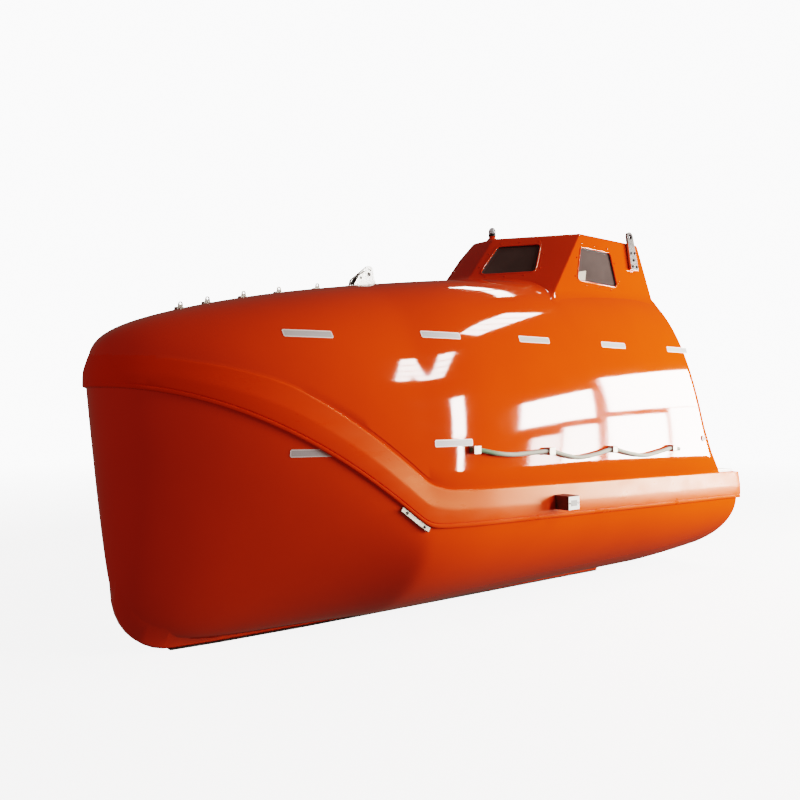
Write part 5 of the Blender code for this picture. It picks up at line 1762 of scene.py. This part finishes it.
def make_world():
    """A pale background that lights the boat less than it shows."""
    world = bpy.data.worlds.new("world")
    world.use_nodes = True
    tree = world.node_tree
    shown = tree.nodes["Background"]
    shown.inputs["Color"].default_value = (0.93, 0.93, 0.94, 1)
    shown.inputs["Strength"].default_value = WORLD_SEEN
    lit = tree.nodes.new("ShaderNodeBackground")
    lit.inputs["Color"].default_value = (1.0, 0.50, 0.40, 1)
    lit.inputs["Strength"].default_value = WORLD_LIGHT
    path = tree.nodes.new("ShaderNodeLightPath")
    mix = tree.nodes.new("ShaderNodeMixShader")
    tree.links.new(path.outputs["Is Camera Ray"], mix.inputs["Fac"])
    tree.links.new(lit.outputs["Background"], mix.inputs[1])
    tree.links.new(shown.outputs["Background"], mix.inputs[2])
    tree.links.new(mix.outputs["Shader"], tree.nodes["World Output"].inputs["Surface"])
    bpy.context.scene.world = world


# The bright windows that the gelcoat mirrors, in two upright walls abaft the boat to port
LIGHT_UNIT = math.pi  # power of a lamp for each square metre and unit of brightness
WINDOW_WALL = ((-6.33, 5.16), 143.5)  # a point on the floor, and the bearing it lies on
WINDOW_PANES = (  # across from that point, middle height, width, height, brightness
    (-0.85, 2.16, 1.30, 0.92, 75),
    (0.965, 2.41, 1.87, 1.18, 75),
    (-1.05, 0.86, 0.48, 0.95, 35),
    (-0.465, 0.94, 0.59, 1.12, 60),
    (0.445, 1.03, 0.89, 1.26, 75),
    (1.43, 1.12, 0.93, 1.35, 75),
)
DOOR_WALL = ((-3.52, 6.63), 125.0)
DOOR_PANES = ((-0.47, 2.65, 0.50, 1.70, 68), (-0.40, 1.20, 0.22, 1.15, 68))
SKYLIGHT_Z = 7.0
SKYLIGHTS = (  # one end, other end, width, panes, brightness
    ((-3.75, 4.7), (-4.45, 2.75), 1.1, 4, 42),
    ((-4.8, 11.0), (-3.55, 6.8), 0.7, 4, 50),
    ((-3.9, -2.9), (-3.75, 0.4), 0.36, 2, 26),
)
SKYLIGHT_SHARE = 0.88  # of each skylight's length that is glass
DAYLIGHT = (1.0, 0.96, 0.90)
FILL_PLACE = (7.5, 2.0, 2.5)
FILL_GOAL = (2.0, 0.3, 1.2)
FILL_SIZE = (3.0, 3.0)
FILL_POWER = 40
FILL_COLOR = (1.0, 0.52, 0.42)


def area_lamp(name, size, power, color, turn, place):
    """A rectangular lamp with the given axes, which shines along its -Z."""
    data = bpy.data.lights.new(name, "AREA")
    data.shape = "RECTANGLE"
    data.size, data.size_y = size
    data.energy = power
    data.color = color
    lamp = bpy.data.objects.new(name, data)
    lamp.matrix_world = Matrix.Translation(place) @ turn.to_4x4()
    bpy.context.scene.collection.objects.link(lamp)
    return lamp


def pane_light(name, centre, across, up, size, brightness):
    """A bright pane with its sides along across and up, of a given brightness."""
    across, up = Vector(across), Vector(up)
    turn = Matrix((across, up, across.cross(up))).transposed()
    area_lamp(name, size, brightness * size[0] * size[1] * LIGHT_UNIT, DAYLIGHT, turn, centre)


def make_lights():
    """The windows, the skylights and a soft warm fill from ahead that no surface mirrors."""
    for ((x, y), bearing), panes in ((WINDOW_WALL, WINDOW_PANES), (DOOR_WALL, DOOR_PANES)):
        angle = math.radians(bearing)
        across = Vector((-math.sin(angle), math.cos(angle), 0))
        for number, (shift, z, width, height, brightness) in enumerate(panes, start=1):
            centre = Vector((x, y, z)) + across * shift
            pane_light(f"pane_{number}", centre, across, (0, 0, 1), (width, height), brightness)
    for start, end, width, count, brightness in SKYLIGHTS:
        start, end = Vector((*start, SKYLIGHT_Z)), Vector((*end, SKYLIGHT_Z))
        along = (end - start).normalized()
        beside = along.cross(Vector((0, 0, -1)))
        size = ((end - start).length / count * SKYLIGHT_SHARE, width)
        for k in range(count):
            centre = start.lerp(end, (k + 0.5) / count)
            pane_light(f"sky_{k}", centre, along, beside, size, brightness)
    aim = (Vector(FILL_GOAL) - Vector(FILL_PLACE)).to_track_quat("-Z", "Y").to_matrix()
    fill = area_lamp("fill", FILL_SIZE, FILL_POWER, FILL_COLOR, aim, FILL_PLACE)
    fill.visible_glossy = False


def build():
    make_camera()
    envelope = make_canopy()
    make_hull()
    make_tower(envelope)
    make_tower_fillet()
    bpy.data.objects.remove(envelope, do_unlink=True)
    make_door_gasket()
    make_strips()
    make_grab_lines()
    make_forward_lug()
    make_lug_bolts()
    make_shoe_faces()
    make_corner_bars()
    make_vent_rings()
    make_position_light()
    make_eye_bolts()
    dress_nodes()
    make_floor()
    make_world()
    make_lights()
    bpy.context.scene.view_settings.view_transform = "Filmic"
    bpy.context.scene.view_settings.look = "Medium High Contrast"


build()
